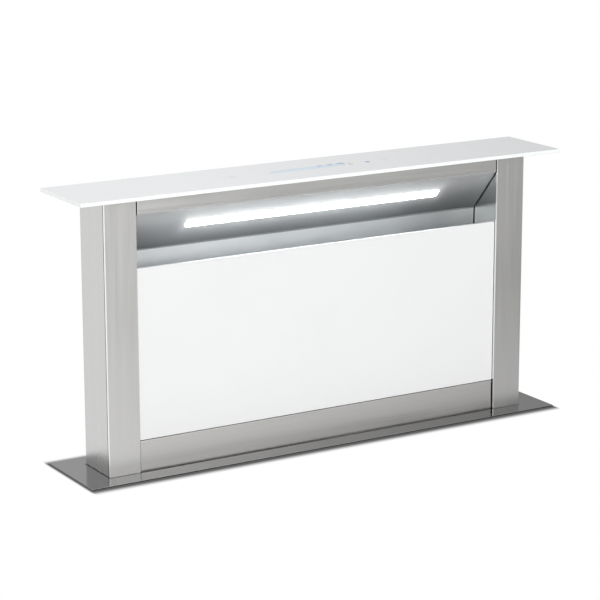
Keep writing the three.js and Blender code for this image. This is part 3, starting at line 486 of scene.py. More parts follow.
SPANGLE_WARP = (12 * MM, 12 * MM, 12 * MM)


def make_spangle_group():
    """The crystal pattern of hot-dip zinc."""
    group, given, out = new_group(
        "zinc_spangle", [("Scale", "Float", 90.0)], [("Shade", "Float"), ("Border", "Float")])
    place = object_place(group)
    warp = add_node(group, "ShaderNodeTexNoise", {"Vector": place, "Scale": 60.0, "Detail": 2.0})
    warped = combine(group, "MULTIPLY_ADD", warp.outputs["Color"], SPANGLE_WARP, place)
    pattern = {"Vector": warped, "Scale": given["Scale"]}
    cells = add_node(group, "ShaderNodeTexVoronoi", pattern, feature="F1")
    shade = add_node(group, "ShaderNodeSeparateColor", {0: cells.outputs["Color"]})
    borders = add_node(group, "ShaderNodeTexVoronoi", pattern, feature="DISTANCE_TO_EDGE")
    group.links.new(shade.outputs[0], out["Shade"])
    group.links.new(borders.outputs["Distance"], out["Border"])
    return group


TOUCHING = 1e-7  # metres


def make_box_group():
    """How far a point lies outside a box given by its middle and half size, and 1 inside it.

    Weight stretches the distance along each axis, and 0 leaves an axis out.
    """
    group, given, out = new_group(
        "box_reach",
        [
            ("Middle", "Vector", (0, 0, 0)),
            ("Half", "Vector", (1, 1, 1)),
            ("Weight", "Vector", (1, 1, 1)),
        ],
        [("Distance", "Float"), ("Mask", "Float")])
    offset = combine(group, "SUBTRACT", object_place(group), given["Middle"])
    beyond = combine(group, "SUBTRACT", combine(group, "ABSOLUTE", offset), given["Half"])
    outside = combine(group, "MAXIMUM", beyond, (0, 0, 0))
    distance = combine(group, "LENGTH", combine(group, "MULTIPLY", outside, given["Weight"]))
    group.links.new(distance, out["Distance"])
    group.links.new(calculate(group, "LESS_THAN", distance, TOUCHING), out["Mask"])
    return group


BRUSH = make_brush_group()
EDGES = make_edge_group()
CLOUDS = make_noise_group("soft_clouds", "Value", 3.0, 0.55)  # handling and uneven sheet
SPANGLE = make_spangle_group()
GRAIN = make_noise_group("moulded_grain", "Grain", 2.0, 0.6)  # of coats and of moulded plastic
BOX_REACH = make_box_group()


# ------------------------------------------------------------------ finishes

def start_tree(owner, output):
    """Empties a material's or world's tree. Returns it with the input for the surface."""
    owner.use_nodes = True
    tree = owner.node_tree
    tree.nodes.clear()
    return tree, add_node(tree, output).inputs[0]


def start_material(name, **constants):
    """A new material with its Principled shader, whose plain values are set on its own sockets."""
    material = bpy.data.materials.new(name)
    tree, surface = start_tree(material, "ShaderNodeOutputMaterial")
    shader = add_node(tree, "ShaderNodeBsdfPrincipled")
    tree.links.new(shader.outputs[0], surface)
    for socket, value in constants.items():
        shader.inputs[socket.replace("_", " ")].default_value = value
    return material, tree, shader.inputs


def set_surface(tree, shader, colour, roughness, relief, depth, strength):
    """Links a finish's colour, roughness and fine relief to its shader."""
    tree.links.new(colour, shader["Base Color"])
    tree.links.new(roughness, shader["Roughness"])
    bump = add_node(
        tree, "ShaderNodeBump", {"Height": relief, "Distance": depth, "Strength": strength})
    tree.links.new(bump.outputs[0], shader["Normal"])


def noise(tree, group, scale):
    """Clouds or grain of a given scale."""
    return use_group(tree, group, scale=scale)[0]


def brush_lines(tree, stretch):
    return use_group(tree, BRUSH, stretch=stretch)["Lines"]


def scaled_colour(colour, factor):
    return (*(channel * factor for channel in colour), 1.0)


def clouded_colour(tree, cloud, colour, low, high):
    """A colour that drifts softly between two strengths of itself."""
    factor = spread(tree, cloud, 0.0, 1.0)
    return blend_colours(tree, factor, scaled_colour(colour, low), scaled_colour(colour, high))


def worn_edges(tree, colour, edge_colour, radius, gain):
    """Gives worn outer edges a colour of their own."""
    mask = use_group(tree, EDGES, radius=radius, gain=gain)["Mask"]
    return blend_colours(tree, mask, colour, edge_colour)


BAND_SHARE = 0.35  # of the broad bands in the brushed pattern
STREAKS = (0.4, 0.95)  # range of lines and bands together
WORN_BRUSHED = 1.28  # brightness of a worn edge against its sheet
WORN_SATIN = 1.25


def brushed_steel(name, colour, stretch, roughness, contrast=0.10, grazing=1.0):
    """Stainless sheet with belt lines, faint bands, handling marks and bright worn folds.

    grazing is the share of its mirroring that a rougher sheet keeps at a flat angle.
    """
    material, tree, shader = start_material(
        name, Metallic=1.0, Specular_Tint=(grazing, grazing, grazing, 1))
    lines, bands = use_group(tree, BRUSH, stretch=stretch)
    streaks = calculate(tree, "ADD", lines, calculate(tree, "MULTIPLY", bands, BAND_SHARE))
    brushed = blend_colours(
        tree, remap(tree, streaks, *STREAKS, 0.0, 1.0),
        scaled_colour(colour, 1 - contrast), scaled_colour(colour, 1 + contrast))
    worn = worn_edges(tree, brushed, scaled_colour(colour, WORN_BRUSHED), 0.7 * MM, 3.0)
    rough_lines = spread(tree, lines, roughness - 0.05, roughness + 0.06)
    handled = spread(tree, noise(tree, CLOUDS, 6.0), -0.025, 0.025)
    rough = calculate(tree, "ADD", rough_lines, handled, clamp=True)
    set_surface(tree, shader, worn, rough, lines, 0.012 * MM, 0.35)
    return material


QUARTER_TURN = 0.25


def satin_steel(name, colour, roughness, grain=0.0):
    """Fine-rolled sheet: soft clouds, hardly any lines. Grain draws its highlights out upwards."""
    material, tree, shader = start_material(
        name, Metallic=1.0, Anisotropic=grain, Anisotropic_Rotation=QUARTER_TURN)
    lines = brush_lines(tree, (8, 1600, 1600))
    rolled = clouded_colour(tree, noise(tree, CLOUDS, 9.0), colour, 0.96, 1.04)
    worn = worn_edges(tree, rolled, scaled_colour(colour, WORN_SATIN), 0.6 * MM, 3.0)
    rough = spread(tree, lines, roughness - 0.02, roughness + 0.03)
    set_surface(tree, shader, worn, rough, lines, 0.002 * MM, 0.3)
    return material


FOOT_SHADE_HEIGHT = 50 * MM  # reach of the painted shade above the reflector's foot
# share of the colour kept at the foot by the painted shade
FOOT_SHADE_FACTOR = 0.45
PAINTED_HALO_REACH = 45 * MM  # reach of the painted glow that stands in for the lens's light on the metal
PAINTED_HALO_RISE = 2 * MM  # the painted glow reaches further above the lens, where the sheet faces it more
PAINTED_HALO_FADING = 5.0
PAINTED_HALO_COLOUR = (0.36, 0.365, 0.37, 1)


def lit_reflector(name, colour, roughness):
    """Satin sheet round a lit lens, with a painted glow on the metal next to it that stands in for
    the lens's light.

    Its colour darkens towards its foot, next to the filters, as painted shade.
    """
    material, tree, shader = start_material(name, Metallic=1.0, Emission_Strength=1.0)
    cloud = noise(tree, CLOUDS, 9.0)
    rolled = clouded_colour(tree, cloud, colour, 0.96, 1.04)
    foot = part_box("light_reflector")[0].z
    # painted shade: the sheet's colour darkens towards its foot
    foot_shade_mask = remap(tree, object_axis(tree, Z), foot, foot + FOOT_SHADE_HEIGHT, 1.0, 0.0)
    dulled = blend_colours(tree, foot_shade_mask, rolled, scaled_colour(colour, FOOT_SHADE_FACTOR))
    worn = worn_edges(tree, dulled, scaled_colour(colour, WORN_SATIN), 0.6 * MM, 3.0)
    rough = spread(tree, cloud, roughness - 0.02, roughness + 0.03)
    set_surface(tree, shader, worn, rough, cloud, 0.02 * MM, 0.2)
    # painted light: an emission round the lens stands in for the light that it throws on the sheet
    low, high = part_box("led_lens")
    middle = (low + high) / 2 + Vector((0, 0, PAINTED_HALO_RISE))
    away = use_group(tree, BOX_REACH, middle=middle, half=(high - low) / 2, weight=(1, 0, 1))
    near = remap(tree, away["Distance"], 0.0, PAINTED_HALO_REACH, 1.0, 0.0)
    painted_spill = calculate(tree, "POWER", near, PAINTED_HALO_FADING)
    painted_halo = blend_colours(tree, painted_spill, (0, 0, 0, 1), PAINTED_HALO_COLOUR)
    tree.links.new(painted_halo, shader["Emission Color"])
    return material


CHIPPED_COAT = (0.7, 0.7, 0.7, 1)


def painted_steel(name, colour):
    """Powder-coated sheet: a soft gloss with fine orange peel and chipped edges."""
    material, tree, shader = start_material(name, Metallic=0.0, IOR=1.5)
    grain = noise(tree, GRAIN, 700.0)
    coat = clouded_colour(tree, noise(tree, CLOUDS, 12.0), colour, 0.97, 1.0)
    chipped = worn_edges(tree, coat, CHIPPED_COAT, 0.6 * MM, 1.2)
    set_surface(tree, shader, chipped, spread(tree, grain, 0.28, 0.4), grain, 0.06 * MM, 0.4)
    return material


ZINC_DARK = (0.42, 0.44, 0.45, 1)
ZINC_PALE = (0.53, 0.55, 0.57, 1)
ZINC_DULL = (0.42, 0.43, 0.44, 1)
ZINC_CUT = (0.72, 0.73, 0.74, 1)
CRYSTAL_EDGE = 0.08  # of a crystal's size


def galvanised_steel(name):
    """Zinc-coated sheet with its crystals, dull patches and bright cut edges."""
    material, tree, shader = start_material(name, Metallic=1.0)
    crystals, borders = use_group(tree, SPANGLE, scale=90.0)
    shade = blend_colours(tree, crystals, ZINC_DARK, ZINC_PALE)
    patches = remap(tree, noise(tree, CLOUDS, 4.0), 0.45, 0.75, 0.0, 0.4)
    dulled = blend_colours(tree, patches, shade, ZINC_DULL)
    worn = worn_edges(tree, dulled, ZINC_CUT, 0.6 * MM, 2.5)
    rough = remap(tree, crystals, 0.0, 1.0, 0.42, 0.6)
    relief = remap(tree, borders, 0.0, CRYSTAL_EDGE, 0.0, 1.0)
    set_surface(tree, shader, worn, rough, relief, 0.02 * MM, 0.4)
    return material


TURNED_DARK = (0.38, 0.38, 0.38, 1)
TURNED_PALE = (0.55, 0.55, 0.54, 1)
TURNED_EDGE = (0.75, 0.75, 0.75, 1)
GREASE = (0.3, 0.27, 0.2, 1)


def turned_steel(name):
    """Bright bar with fine turning rings round its axis and a film of grease."""
    material, tree, shader = start_material(name, Metallic=1.0)
    cloud = noise(tree, CLOUDS, 30.0)
    rings = brush_lines(tree, (20, 20, 1800))
    shade = blend_colours(tree, rings, TURNED_DARK, TURNED_PALE)
    greased = blend_colours(tree, remap(tree, cloud, 0.5, 0.8, 0.0, 0.6), shade, GREASE)
    worn = worn_edges(tree, greased, TURNED_EDGE, 0.4 * MM, 3.0)
    set_surface(tree, shader, worn, spread(tree, cloud, 0.2, 0.38), rings, 0.02 * MM, 0.4)
    return material


RIM_HIGHLIGHT = (0.97, 0.985, 0.98, 1)
RIM_LEAN = (0.5, 0.97)  # share of the normal along the thin axis, from all rim to none


def white_glass(name, colour, rim_axis):
    """Back-painted safety glass: gloss, with a pale rim as a painted highlight and a trace of
    smears.

    rim_axis is the number of the plate's thin axis: the rim is all that faces across it.
    """
    material, tree, shader = start_material(name, Metallic=0.0, IOR=1.5, Coat_Roughness=0.03)
    normal = add_node(tree, "ShaderNodeTexCoord").outputs["Normal"]
    facing = add_node(tree, "ShaderNodeSeparateXYZ", {0: normal}).outputs[rim_axis]
    rim = remap(tree, calculate(tree, "ABSOLUTE", facing), *RIM_LEAN, 1.0, 0.0)
    cloud = noise(tree, CLOUDS, 7.0)
    paint = clouded_colour(tree, cloud, colour, 0.985, 1.0)
    # painted highlight: the faces across the thin axis are paler
    rim_highlit = blend_colours(tree, rim, paint, RIM_HIGHLIGHT)
    smeared = remap(tree, cloud, 0.35, 0.75, 0.05, 0.12)
    set_surface(tree, shader, rim_highlit, smeared, cloud, 0.2 * MM, 0.1)
    return material


LENS_GLOW = 13.0
LED_COUNT = 16
LED_WAVE = 2 * math.pi * LED_COUNT / LENS_LENGTH
GLOW_BETWEEN = (0.95, 0.975, 1.0, 1)
GLOW_AT_LED = (0.99, 0.995, 1.0, 1)
FROST_DARK = (0.9, 0.9, 0.9, 1)
FROST_PALE = (0.97, 0.97, 0.97, 1)


def lit_lens(name):
    """A frosted cover lit from behind: the LEDs show as faintly brighter patches."""
    material, tree, shader = start_material(name, Roughness=0.45, Emission_Strength=LENS_GLOW)
    wave = calculate(tree, "SINE", calculate(tree, "MULTIPLY", object_axis(tree, X), LED_WAVE))
    glow = blend_colours(tree, remap(tree, wave, -1.0, 1.0, 0.0, 1.0), GLOW_BETWEEN, GLOW_AT_LED)
    frost = blend_colours(tree, noise(tree, GRAIN, 2500.0), FROST_DARK, FROST_PALE)
    tree.links.new(glow, shader["Emission Color"])
    tree.links.new(frost, shader["Base Color"])
    return material


SCUFF_GAIN = 1.3
SCUFF_LIFT = 0.03


def moulded_plastic(name, colour, roughness, edge_gain=1.5):
    """Moulded plastic with fine grain, slight scuffs and paler edges."""
    material, tree, shader = start_material(name, Metallic=0.0)
    grain = noise(tree, GRAIN, 1400.0)
    body = clouded_colour(tree, noise(tree, CLOUDS, 18.0), colour, 0.9, 1.1)
    pale = (*(min(1.0, channel * SCUFF_GAIN + SCUFF_LIFT) for channel in colour), 1.0)
    scuffed = worn_edges(tree, body, pale, 0.8 * MM, edge_gain)
    rough = spread(tree, grain, roughness - 0.06, roughness + 0.08)
    set_surface(tree, shader, scuffed, rough, grain, 0.05 * MM, 0.5)
    return material


FOAM_DARK = (0.012, 0.012, 0.012, 1)
FOAM_PALE = (0.05, 0.05, 0.05, 1)


def sprung_foam(name):
    """Closed-cell sealing strip."""
    material, tree, shader = start_material(name, Metallic=0.0, Sheen_Weight=0.2)
    depth = add_node(
        tree, "ShaderNodeTexVoronoi", {"Vector": object_place(tree), "Scale": 1200.0},
        feature="F1").outputs["Distance"]
    shade = blend_colours(tree, depth, FOAM_DARK, FOAM_PALE)
    rough = remap(tree, depth, 0.0, 0.8, 0.75, 0.95)
    set_surface(tree, shader, shade, rough, depth, 0.2 * MM, 0.7)
    return material


def circuit_board(name, regions=()):
    """Solder mask with copper tracks.

    Each region is the middle, half size and colour of a fitted part.
    """
    material, tree, shader = start_material(name, Metallic=0.0)
    colour, tracks = add_node(tree, "ShaderNodeTexBrick", {
        "Vector": object_place(tree), "Scale": 160.0,
        "Color1": (0.018, 0.11, 0.05, 1), "Color2": (0.022, 0.13, 0.06, 1),
        "Mortar": (0.05, 0.22, 0.1, 1), "Mortar Size": 0.035}).outputs
    for middle, half, part_colour in regions:
        mask = use_group(tree, BOX_REACH, middle=middle, half=half)["Mask"]
        colour = blend_colours(tree, mask, colour, part_colour)
    rough = spread(tree, noise(tree, GRAIN, 900.0), 0.3, 0.5)
    set_surface(tree, shader, colour, rough, tracks, 0.04 * MM, 0.5)
    return material


def printed_mark(name, colour, glow=0.0):
    """Ink printed on glass, or the same lit from under it."""
    material, tree, shader = start_material(
        name, Metallic=0.0, Roughness=0.25, Emission_Strength=glow)
    ink = blend_colours(
        tree, noise(tree, GRAIN, 1800.0), scaled_colour(colour, 0.94), scaled_colour(colour, 1.0))
    tree.links.new(ink, shader["Base Color"])
    tree.links.new(ink, shader["Emission Color"])
    return material


UPRIGHT_LINES = (420, 420, 5)
LENGTHWISE_LINES = (5, 420, 420)

STEEL_UPRIGHT = brushed_steel(
    "steel_brushed_upright", (0.60, 0.596, 0.585), UPRIGHT_LINES, 0.34, 0.03)
STEEL_SIDE = brushed_steel(
    "steel_brushed_side", (0.60, 0.60, 0.595), UPRIGHT_LINES, 0.26, 0.03)
STEEL_BAR = brushed_steel(
    "steel_brushed_bar", (0.61, 0.606, 0.592), LENGTHWISE_LINES, 0.32, 0.04)
STEEL_STRIP = brushed_steel(
    "steel_brushed_strip", (0.57, 0.564, 0.553), LENGTHWISE_LINES, 0.34, 0.05)
# painted shade: the flange's brushed steel is set far darker than the same steel above it, to
# darken its reflections
STEEL_FLANGE_SHADED = brushed_steel(
    "steel_brushed_flange", (0.33, 0.33, 0.33), LENGTHWISE_LINES, 0.15, 0.04, grazing=0.62)
# painted highlight: a pale steel for the folds and ends that face sideways
STEEL_EDGE_HIGHLIGHT = satin_steel("steel_highlight_edge", (0.93, 0.93, 0.92), 0.25)
# painted highlight: a paler steel for the bar's hem
STEEL_HEM_HIGHLIGHT = satin_steel("steel_highlight_hem", (0.74, 0.74, 0.73), 0.25)
STEEL_SLOT = lit_reflector("steel_satin_slot", (0.71, 0.72, 0.725), 0.5)
STEEL_WALL = satin_steel("steel_satin_wall", (0.67, 0.69, 0.70), 0.35, grain=0.85)
STEEL_CHEEK = satin_steel("steel_satin_cheek", (0.74, 0.75, 0.745), 0.22)
WHITE_COAT = painted_steel("paint_white", (0.85, 0.86, 0.86))
STEEL_TURNED = turned_steel("steel_turned")
ZINC = galvanised_steel("steel_galvanised")
# painted shade: the lid's white is set darker than the front glass's white, to shade its upward
# face
LID_WHITE_SHADED = white_glass("glass_white_lid", (0.775, 0.787, 0.795), rim_axis=Z)
FRONT_WHITE = white_glass("glass_white_front", (0.88, 0.88, 0.88), rim_axis=Y)
LENS = lit_lens("lens_lit")
ALUMINIUM = satin_steel("aluminium_satin", (0.66, 0.67, 0.68), 0.4)
BLACK = moulded_plastic("plastic_black", (0.018, 0.018, 0.02), 0.5)
GREY = moulded_plastic("plastic_grey", (0.16, 0.17, 0.18), 0.5)
WHITE = moulded_plastic("plastic_white", (0.72, 0.72, 0.68), 0.45, edge_gain=0.8)
FOAM = sprung_foam("foam_black")
RUBBER = moulded_plastic("rubber_grey", (0.26, 0.26, 0.262), 0.6)
BOARD = circuit_board("board_touch")
MARK_GREY = printed_mark("mark_grey", (0.60, 0.62, 0.66))
MARK_DARK = printed_mark("mark_dark", (0.24, 0.29, 0.26))
MARK_BLUE = printed_mark("mark_blue", (0.20, 0.30, 0.60), glow=0.05)
MARK_VIOLET = printed_mark("mark_violet", (0.20, 0.19, 0.52), glow=0.1)
MARK_LINES = printed_mark("mark_line_blue", (0.45, 0.63, 0.78))
MARK_FIELD = printed_mark("mark_field_blue", (0.60, 0.73, 0.83))


# ------------------------------------------------------------------ lid and its printed marks

def make_lid():
    lid = add_block("lid_glass", *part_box("glass_lid"))
    round_along(lid, Z, LID_CORNER, 8)
    round_all(lid, GLASS_EDGE, 4)
    finish_piece(lid, "tower", "white_glass", LID_WHITE_SHADED, "glass_lid")


def finish_mark(piece, ink):
    finish_piece(piece, "tower", "white_glass", ink)


def add_mark_line(name, start, end, width):
    """A printed line on the lid between two points of its top face."""
    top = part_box("glass_lid")[1].z
    start, end = Vector(start), Vector(end)
    length = (end - start).length
    line = add_block(name, (-length / 2, -width / 2, -INLAY), (length / 2, width / 2, INLAY))
    round_along(line, Z, width * MARK_ROUNDING, 3)
    middle = (start + end) / 2
    turn = Matrix.Rotation(math.atan2(end.y - start.y, end.x - start.x), 4, "Z")
    line.data.transform(Matrix.Translation((middle.x, middle.y, top)) @ turn)
    return line


def add_mark_ring(name, centre, radius, width):
    """A printed ring on the lid."""
    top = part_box("glass_lid")[1].z
    ring = add_cylinder(name, (*centre, top - INLAY), radius, 2 * INLAY, RING_SIDES)
    open_window(ring, Z, width)
    return ring


def make_slider():
    """The pale field of the slider between two thin lines, with brighter dashes at its far end."""
    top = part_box("glass_lid")[1].z
    foot_start, foot_end = SLIDER_FOOT
    head_start, head_end = SLIDER_HEAD
    field = add_block("slider_field", (*foot_start, top - INLAY), (*head_end, top + INLAY / 2))
    for corner, leaning in (
        (Vector((foot_start.x, head_end.y)), head_start),
        (Vector((head_end.x, foot_start.y)), foot_end),
    ):
        start_edit(field, "EDGE")
        pick_edges(lambda middle, way, corner=corner: is_along(way, Z)
                   and (middle.xy - corner).length < INLAY)
        bpy.ops.transform.translate(value=(*(leaning - corner), 0))
        end_edit()
    round_along(field, Z, SLIDER_CORNER, 4)
    finish_mark(field, MARK_FIELD)

    lines = [
        add_mark_line("slider_lines", foot_start, foot_end, MARK_LINE),
        add_mark_line("slider_head_line", head_start, head_end, MARK_LINE),
    ]
    finish_mark(join_pieces(lines), MARK_LINES)

    dashes = []
    for step, (start, length) in enumerate(DASHES):
        ends = [
            head_start.lerp(head_end, share) - Vector((0, DASH_DROP))
            for share in (start, start + length)
        ]
        dashes.append(add_mark_line(f"slider_dash_{step}", *ends, DASH_WIDTH))
    finish_mark(join_pieces(dashes), MARK_BLUE)


def point_round(centre, radius, turns):
    """The point at a radius round a centre, so many turns from the X axis."""
    angle = 2 * math.pi * turns
    return Vector(centre) + radius * Vector((math.cos(angle), math.sin(angle)))


def make_touch_marks():
    """The slider, its tick, the lit dot and two faint symbols, set along the lid."""
    make_slider()
    tick = [
        add_mark_line("tick_short", TICK_TOP, TICK_FOOT, MARK_LINE),
        add_mark_line("tick_long", TICK_FOOT, TICK_END, MARK_LINE),
    ]
    finish_mark(join_pieces(tick), MARK_DARK)
    finish_mark(add_mark_line("lit_dot", DOT_START, DOT_END, DOT_WIDTH), MARK_VIOLET)

    fan = [add_mark_ring("fan_symbol", FAN_CENTRE, FAN_RADIUS, SYMBOL_LINE)]
    for blade in range(FAN_BLADES):
        tip = point_round(FAN_CENTRE, BLADE_LENGTH, 1 / 4 + blade / FAN_BLADES)
        fan.append(add_mark_line(f"fan_blade_{blade}", FAN_CENTRE, tip, BLADE_WIDTH))
    finish_mark(join_pieces(fan), MARK_GREY)

    bulb = [add_mark_ring("lamp_symbol", BULB_CENTRE, BULB_RADIUS, SYMBOL_LINE)]
    for ray in range(BULB_RAYS):
        ends = [
            point_round(BULB_CENTRE, reach, 1 / 8 + ray / BULB_RAYS)
            for reach in (RAY_START, RAY_END)
        ]
        bulb.append(add_mark_line(f"lamp_ray_{ray}", *ends, SYMBOL_LINE))
    finish_mark(join_pieces(bulb), MARK_GREY)


# ------------------------------------------------------------------ columns and front

def make_column_front(name):
    """A shallow channel of sheet: its back and its two ends are open."""
    low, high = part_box(f"column_front_{name}")
    front = add_block(f"column_{name}_face", low, high)
    delete_faces(front, lambda middle, normal: normal.y > ALONG or is_along(normal, Z))
    bevel_edges(front, lambda middle, way: is_along(way, Z) and middle.y < low.y + FOLD, FOLD, 4)
    thicken(front)
    finish_piece(front, "tower", "brushed_steel", STEEL_UPRIGHT, f"column_front_{name}")
    # painted highlight on the folds that face sideways
    finish_faces(front, STEEL_EDGE_HIGHLIGHT, lambda middle, normal: abs(normal.x) > SIDEWAYS)


def make_side_panel(name, side):
    """A side sheet with a short fold behind the column's face and a wide one at the rear."""
    low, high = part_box(f"side_panel_{name}")
    inner_x = low.x if side > 0 else high.x
    panel = add_block(f"tower_{name}_side", low, high)
    delete_faces(panel, lambda middle, normal: normal.x * side < -ALONG or is_along(normal, Z))
    start_edit(panel, "VERT")
    mesh = edit_mesh()
    for vertex in mesh.verts:
        vertex.select_set(abs(vertex.co.x - inner_x) < FOLD and vertex.co.y < low.y + FOLD)
    bmesh.update_edit_mesh(panel.data)
    bpy.ops.transform.translate(value=(side * (REAR_LIP - SIDE_PANEL_LIP), 0, 0))
    end_edit()
    outer_x = high.x if side > 0 else low.x
    bevel_edges(panel, lambda middle, way: is_along(way, Z) and abs(middle.x - outer_x) < FOLD
                and middle.y > 0, FOLD, 4)
    thicken(panel)
    finish_piece(panel, "tower", "brushed_steel", STEEL_SIDE, f"side_panel_{name}")


def make_top_bar():
    """A bar of folded sheet with closed ends and a hem along its foot, with painted highlights on
    the hem and on the ends.
    """
    low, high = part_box("top_bar")
    bar = add_block("slot_top_bar", low, high)
    delete_faces(bar, lambda middle, normal: normal.y > ALONG or normal.z < -ALONG)
    hem = low.z + BAR_HEM
    start_edit(bar, "FACE")
    pick_all()
    bpy.ops.mesh.bisect(plane_co=(0, 0, hem), plane_no=(0, 0, 1))
    end_edit()
    bevel_edges(bar, lambda middle, way: is_along(way, Z) and middle.y < low.y + FOLD, FOLD, 4)
    thicken(bar)
    finish_piece(bar, "tower", "brushed_steel", STEEL_BAR, "top_bar")
    # painted highlight along the hem
    finish_faces(bar, STEEL_HEM_HIGHLIGHT, lambda middle, normal: middle.z < hem - FINE_EDGE / 2)
    # painted highlight on the bar's closed ends
    finish_faces(bar, STEEL_EDGE_HIGHLIGHT, lambda middle, normal: abs(normal.x) > SIDEWAYS)


def make_lower_front():
    low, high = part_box("lower_front_panel")
    strip = add_block("foot_strip", low, high)
    delete_faces(strip, lambda middle, normal: is_along(normal, X)
                 or normal.y > ALONG or normal.z < -ALONG)
    bevel_edges(strip, lambda middle, way: is_along(way, X) and middle.z > high.z - FOLD
                and middle.y < low.y + FOLD, FOLD, 4)
    thicken(strip)
    finish_piece(strip, "tower", "brushed_steel", STEEL_STRIP, "lower_front_panel")


def add_widened(name, node, rim):
    """A block over a solid, wider than it by a rim at each end."""
    low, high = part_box(node)
    beyond = Vector((rim, 0, 0))
    return add_block(name, low - beyond, high + beyond)


def make_front_glass():
    glass = add_widened("front_glass_plate", "front_glass", FRONT_GLASS_SPREAD)
    round_along(glass, Y, LID_CORNER, 6)
    round_all(glass, FINE_EDGE, 3)
    finish_piece(glass, "front_panel", "white_glass", FRONT_WHITE, "front_glass")


def make_rear_panel():
    panel = add_block("tower_rear_sheet", *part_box("rear_panel"))
    round_all(panel, FINE_EDGE, 2)
    finish_piece(panel, "tower", "brushed_steel", STEEL_SIDE, "rear_panel")


# ------------------------------------------------------------------ air slot

def make_duct_wall():
    wall = add_widened("duct_wall_sheet", "duct_back_wall", WALL_SPREAD)
    round_all(wall, FINE_EDGE, 2)
    finish_piece(wall, "tower", "satin_steel", STEEL_WALL, "duct_back_wall")


def slot_slope():
    """The matrix of the reflector's slope: x along the slot, y down the slope, z into the tower."""
    low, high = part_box("light_reflector")
    upper = Vector((0, low.y, high.z - REFLECTOR_LIP))
    lower = Vector((0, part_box("duct_back_wall")[0].y - SHEET, low.z))
    along = Vector((1, 0, 0))
    down = (lower - upper).normalized()
    turn = Matrix((along, down, along.cross(down))).transposed().to_4x4()
    return Matrix.Translation(upper) @ turn, (lower - upper).length


def add_lens_block(name, half_length, half_width, low, high):
    """A block with rounded corners, lying in the slope."""
    middle = LENS_SETBACK + LENS_WIDTH / 2
    block = add_block(
        name, (-half_length, middle - half_width, low), (half_length, middle + half_width, high))
    round_along(block, Z, LENS_CORNER, 6)
    return block


def make_slot_light():
    """The slanted reflector with its folded lip and hem, and the lens a little proud of it."""
    slope, length = slot_slope()
    low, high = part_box("light_reflector")
    half_length = (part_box("led_lens")[1].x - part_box("led_lens")[0].x) / 2

    reflector = add_block("slot_reflector", (low.x, 0, -SHEET / 2), (high.x, length - SHEET, SHEET))
    delete_faces(reflector, lambda middle, normal: normal.z > -ALONG)
    reflector.data.transform(slope @ Matrix.Translation((0, 0, SHEET / 2)))
    start_edit(reflector, "EDGE")
    pick_edges(lambda middle, way: is_along(way, X) and middle.y < low.y + FOLD)
    bpy.ops.mesh.extrude_region_move(TRANSFORM_OT_translate={"value": (0, 0, REFLECTOR_LIP)})
    pick_edges(lambda middle, way: is_along(way, X) and middle.y > high.y - 3 * SHEET)
    bpy.ops.mesh.extrude_region_move(TRANSFORM_OT_translate={"value": (0, 0, -REFLECTOR_HEM)})
    pick_all()
    bpy.ops.mesh.normals_make_consistent(inside=False)
    end_edit()
    flip_towards(reflector, Vector((0, -1, -1)))
    bevel_edges(reflector, lambda middle, way: is_along(way, X)
                and low.z + REFLECTOR_HEM / 2 < middle.z + REFLECTOR_HEM < high.z - FOLD, FOLD, 4)
    thicken(reflector)
    tool = add_lens_block(
        "lens_hole", half_length + LENS_GAP, LENS_WIDTH / 2 + LENS_GAP,
        -LENS_HOLE_REACH, LENS_HOLE_REACH)
    tool.data.transform(slope)
    cut_away(reflector, tool)
    finish_piece(reflector, "tower", "satin_steel", STEEL_SLOT, "light_reflector")

    lens = add_lens_block("slot_lens", half_length, LENS_WIDTH / 2, -LENS_DOME, SHEET)
    bevel_edges(lens, lambda middle, way: is_across(way, Z)
                and middle.z < -LENS_DOME * ON_EDGE, LENS_DOME * LENS_ROUNDING, 5)
    lens.data.transform(slope)
    finish_piece(lens, "tower", "lens_plastic", LENS, "led_lens")


def flip_towards(piece, way):
    """Turns an open shell's faces so that most of its area faces the given way."""
    mesh = piece.data
    area = sum(face.area * face.normal.dot(way) for face in mesh.polygons)
    if area < 0:
        start_edit(piece, "FACE")
        pick_all()
        bpy.ops.mesh.flip_normals()
        end_edit()


# ------------------------------------------------------------------ worktop flange

def make_flange():
    low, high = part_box("worktop_flange")
    slot_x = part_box("side_panel_right")[1].x + SLOT_CLEARANCE
    slot_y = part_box("tower_base")[1].y + SLOT_CLEARANCE
    flange = add_block("flange_plate", low, high)
    round_along(flange, Z, FLANGE_CORNER, 5)
    tool = add_block("slot_tool", (-slot_x, -slot_y, low.z - MM), (slot_x, slot_y, high.z + MM))
    cut_away(flange, tool)
    round_all(flange, FINE_EDGE, 3)
    finish_piece(flange, "chassis", "brushed_steel", STEEL_FLANGE_SHADED, "worktop_flange")


# ------------------------------------------------------------------ grease filters

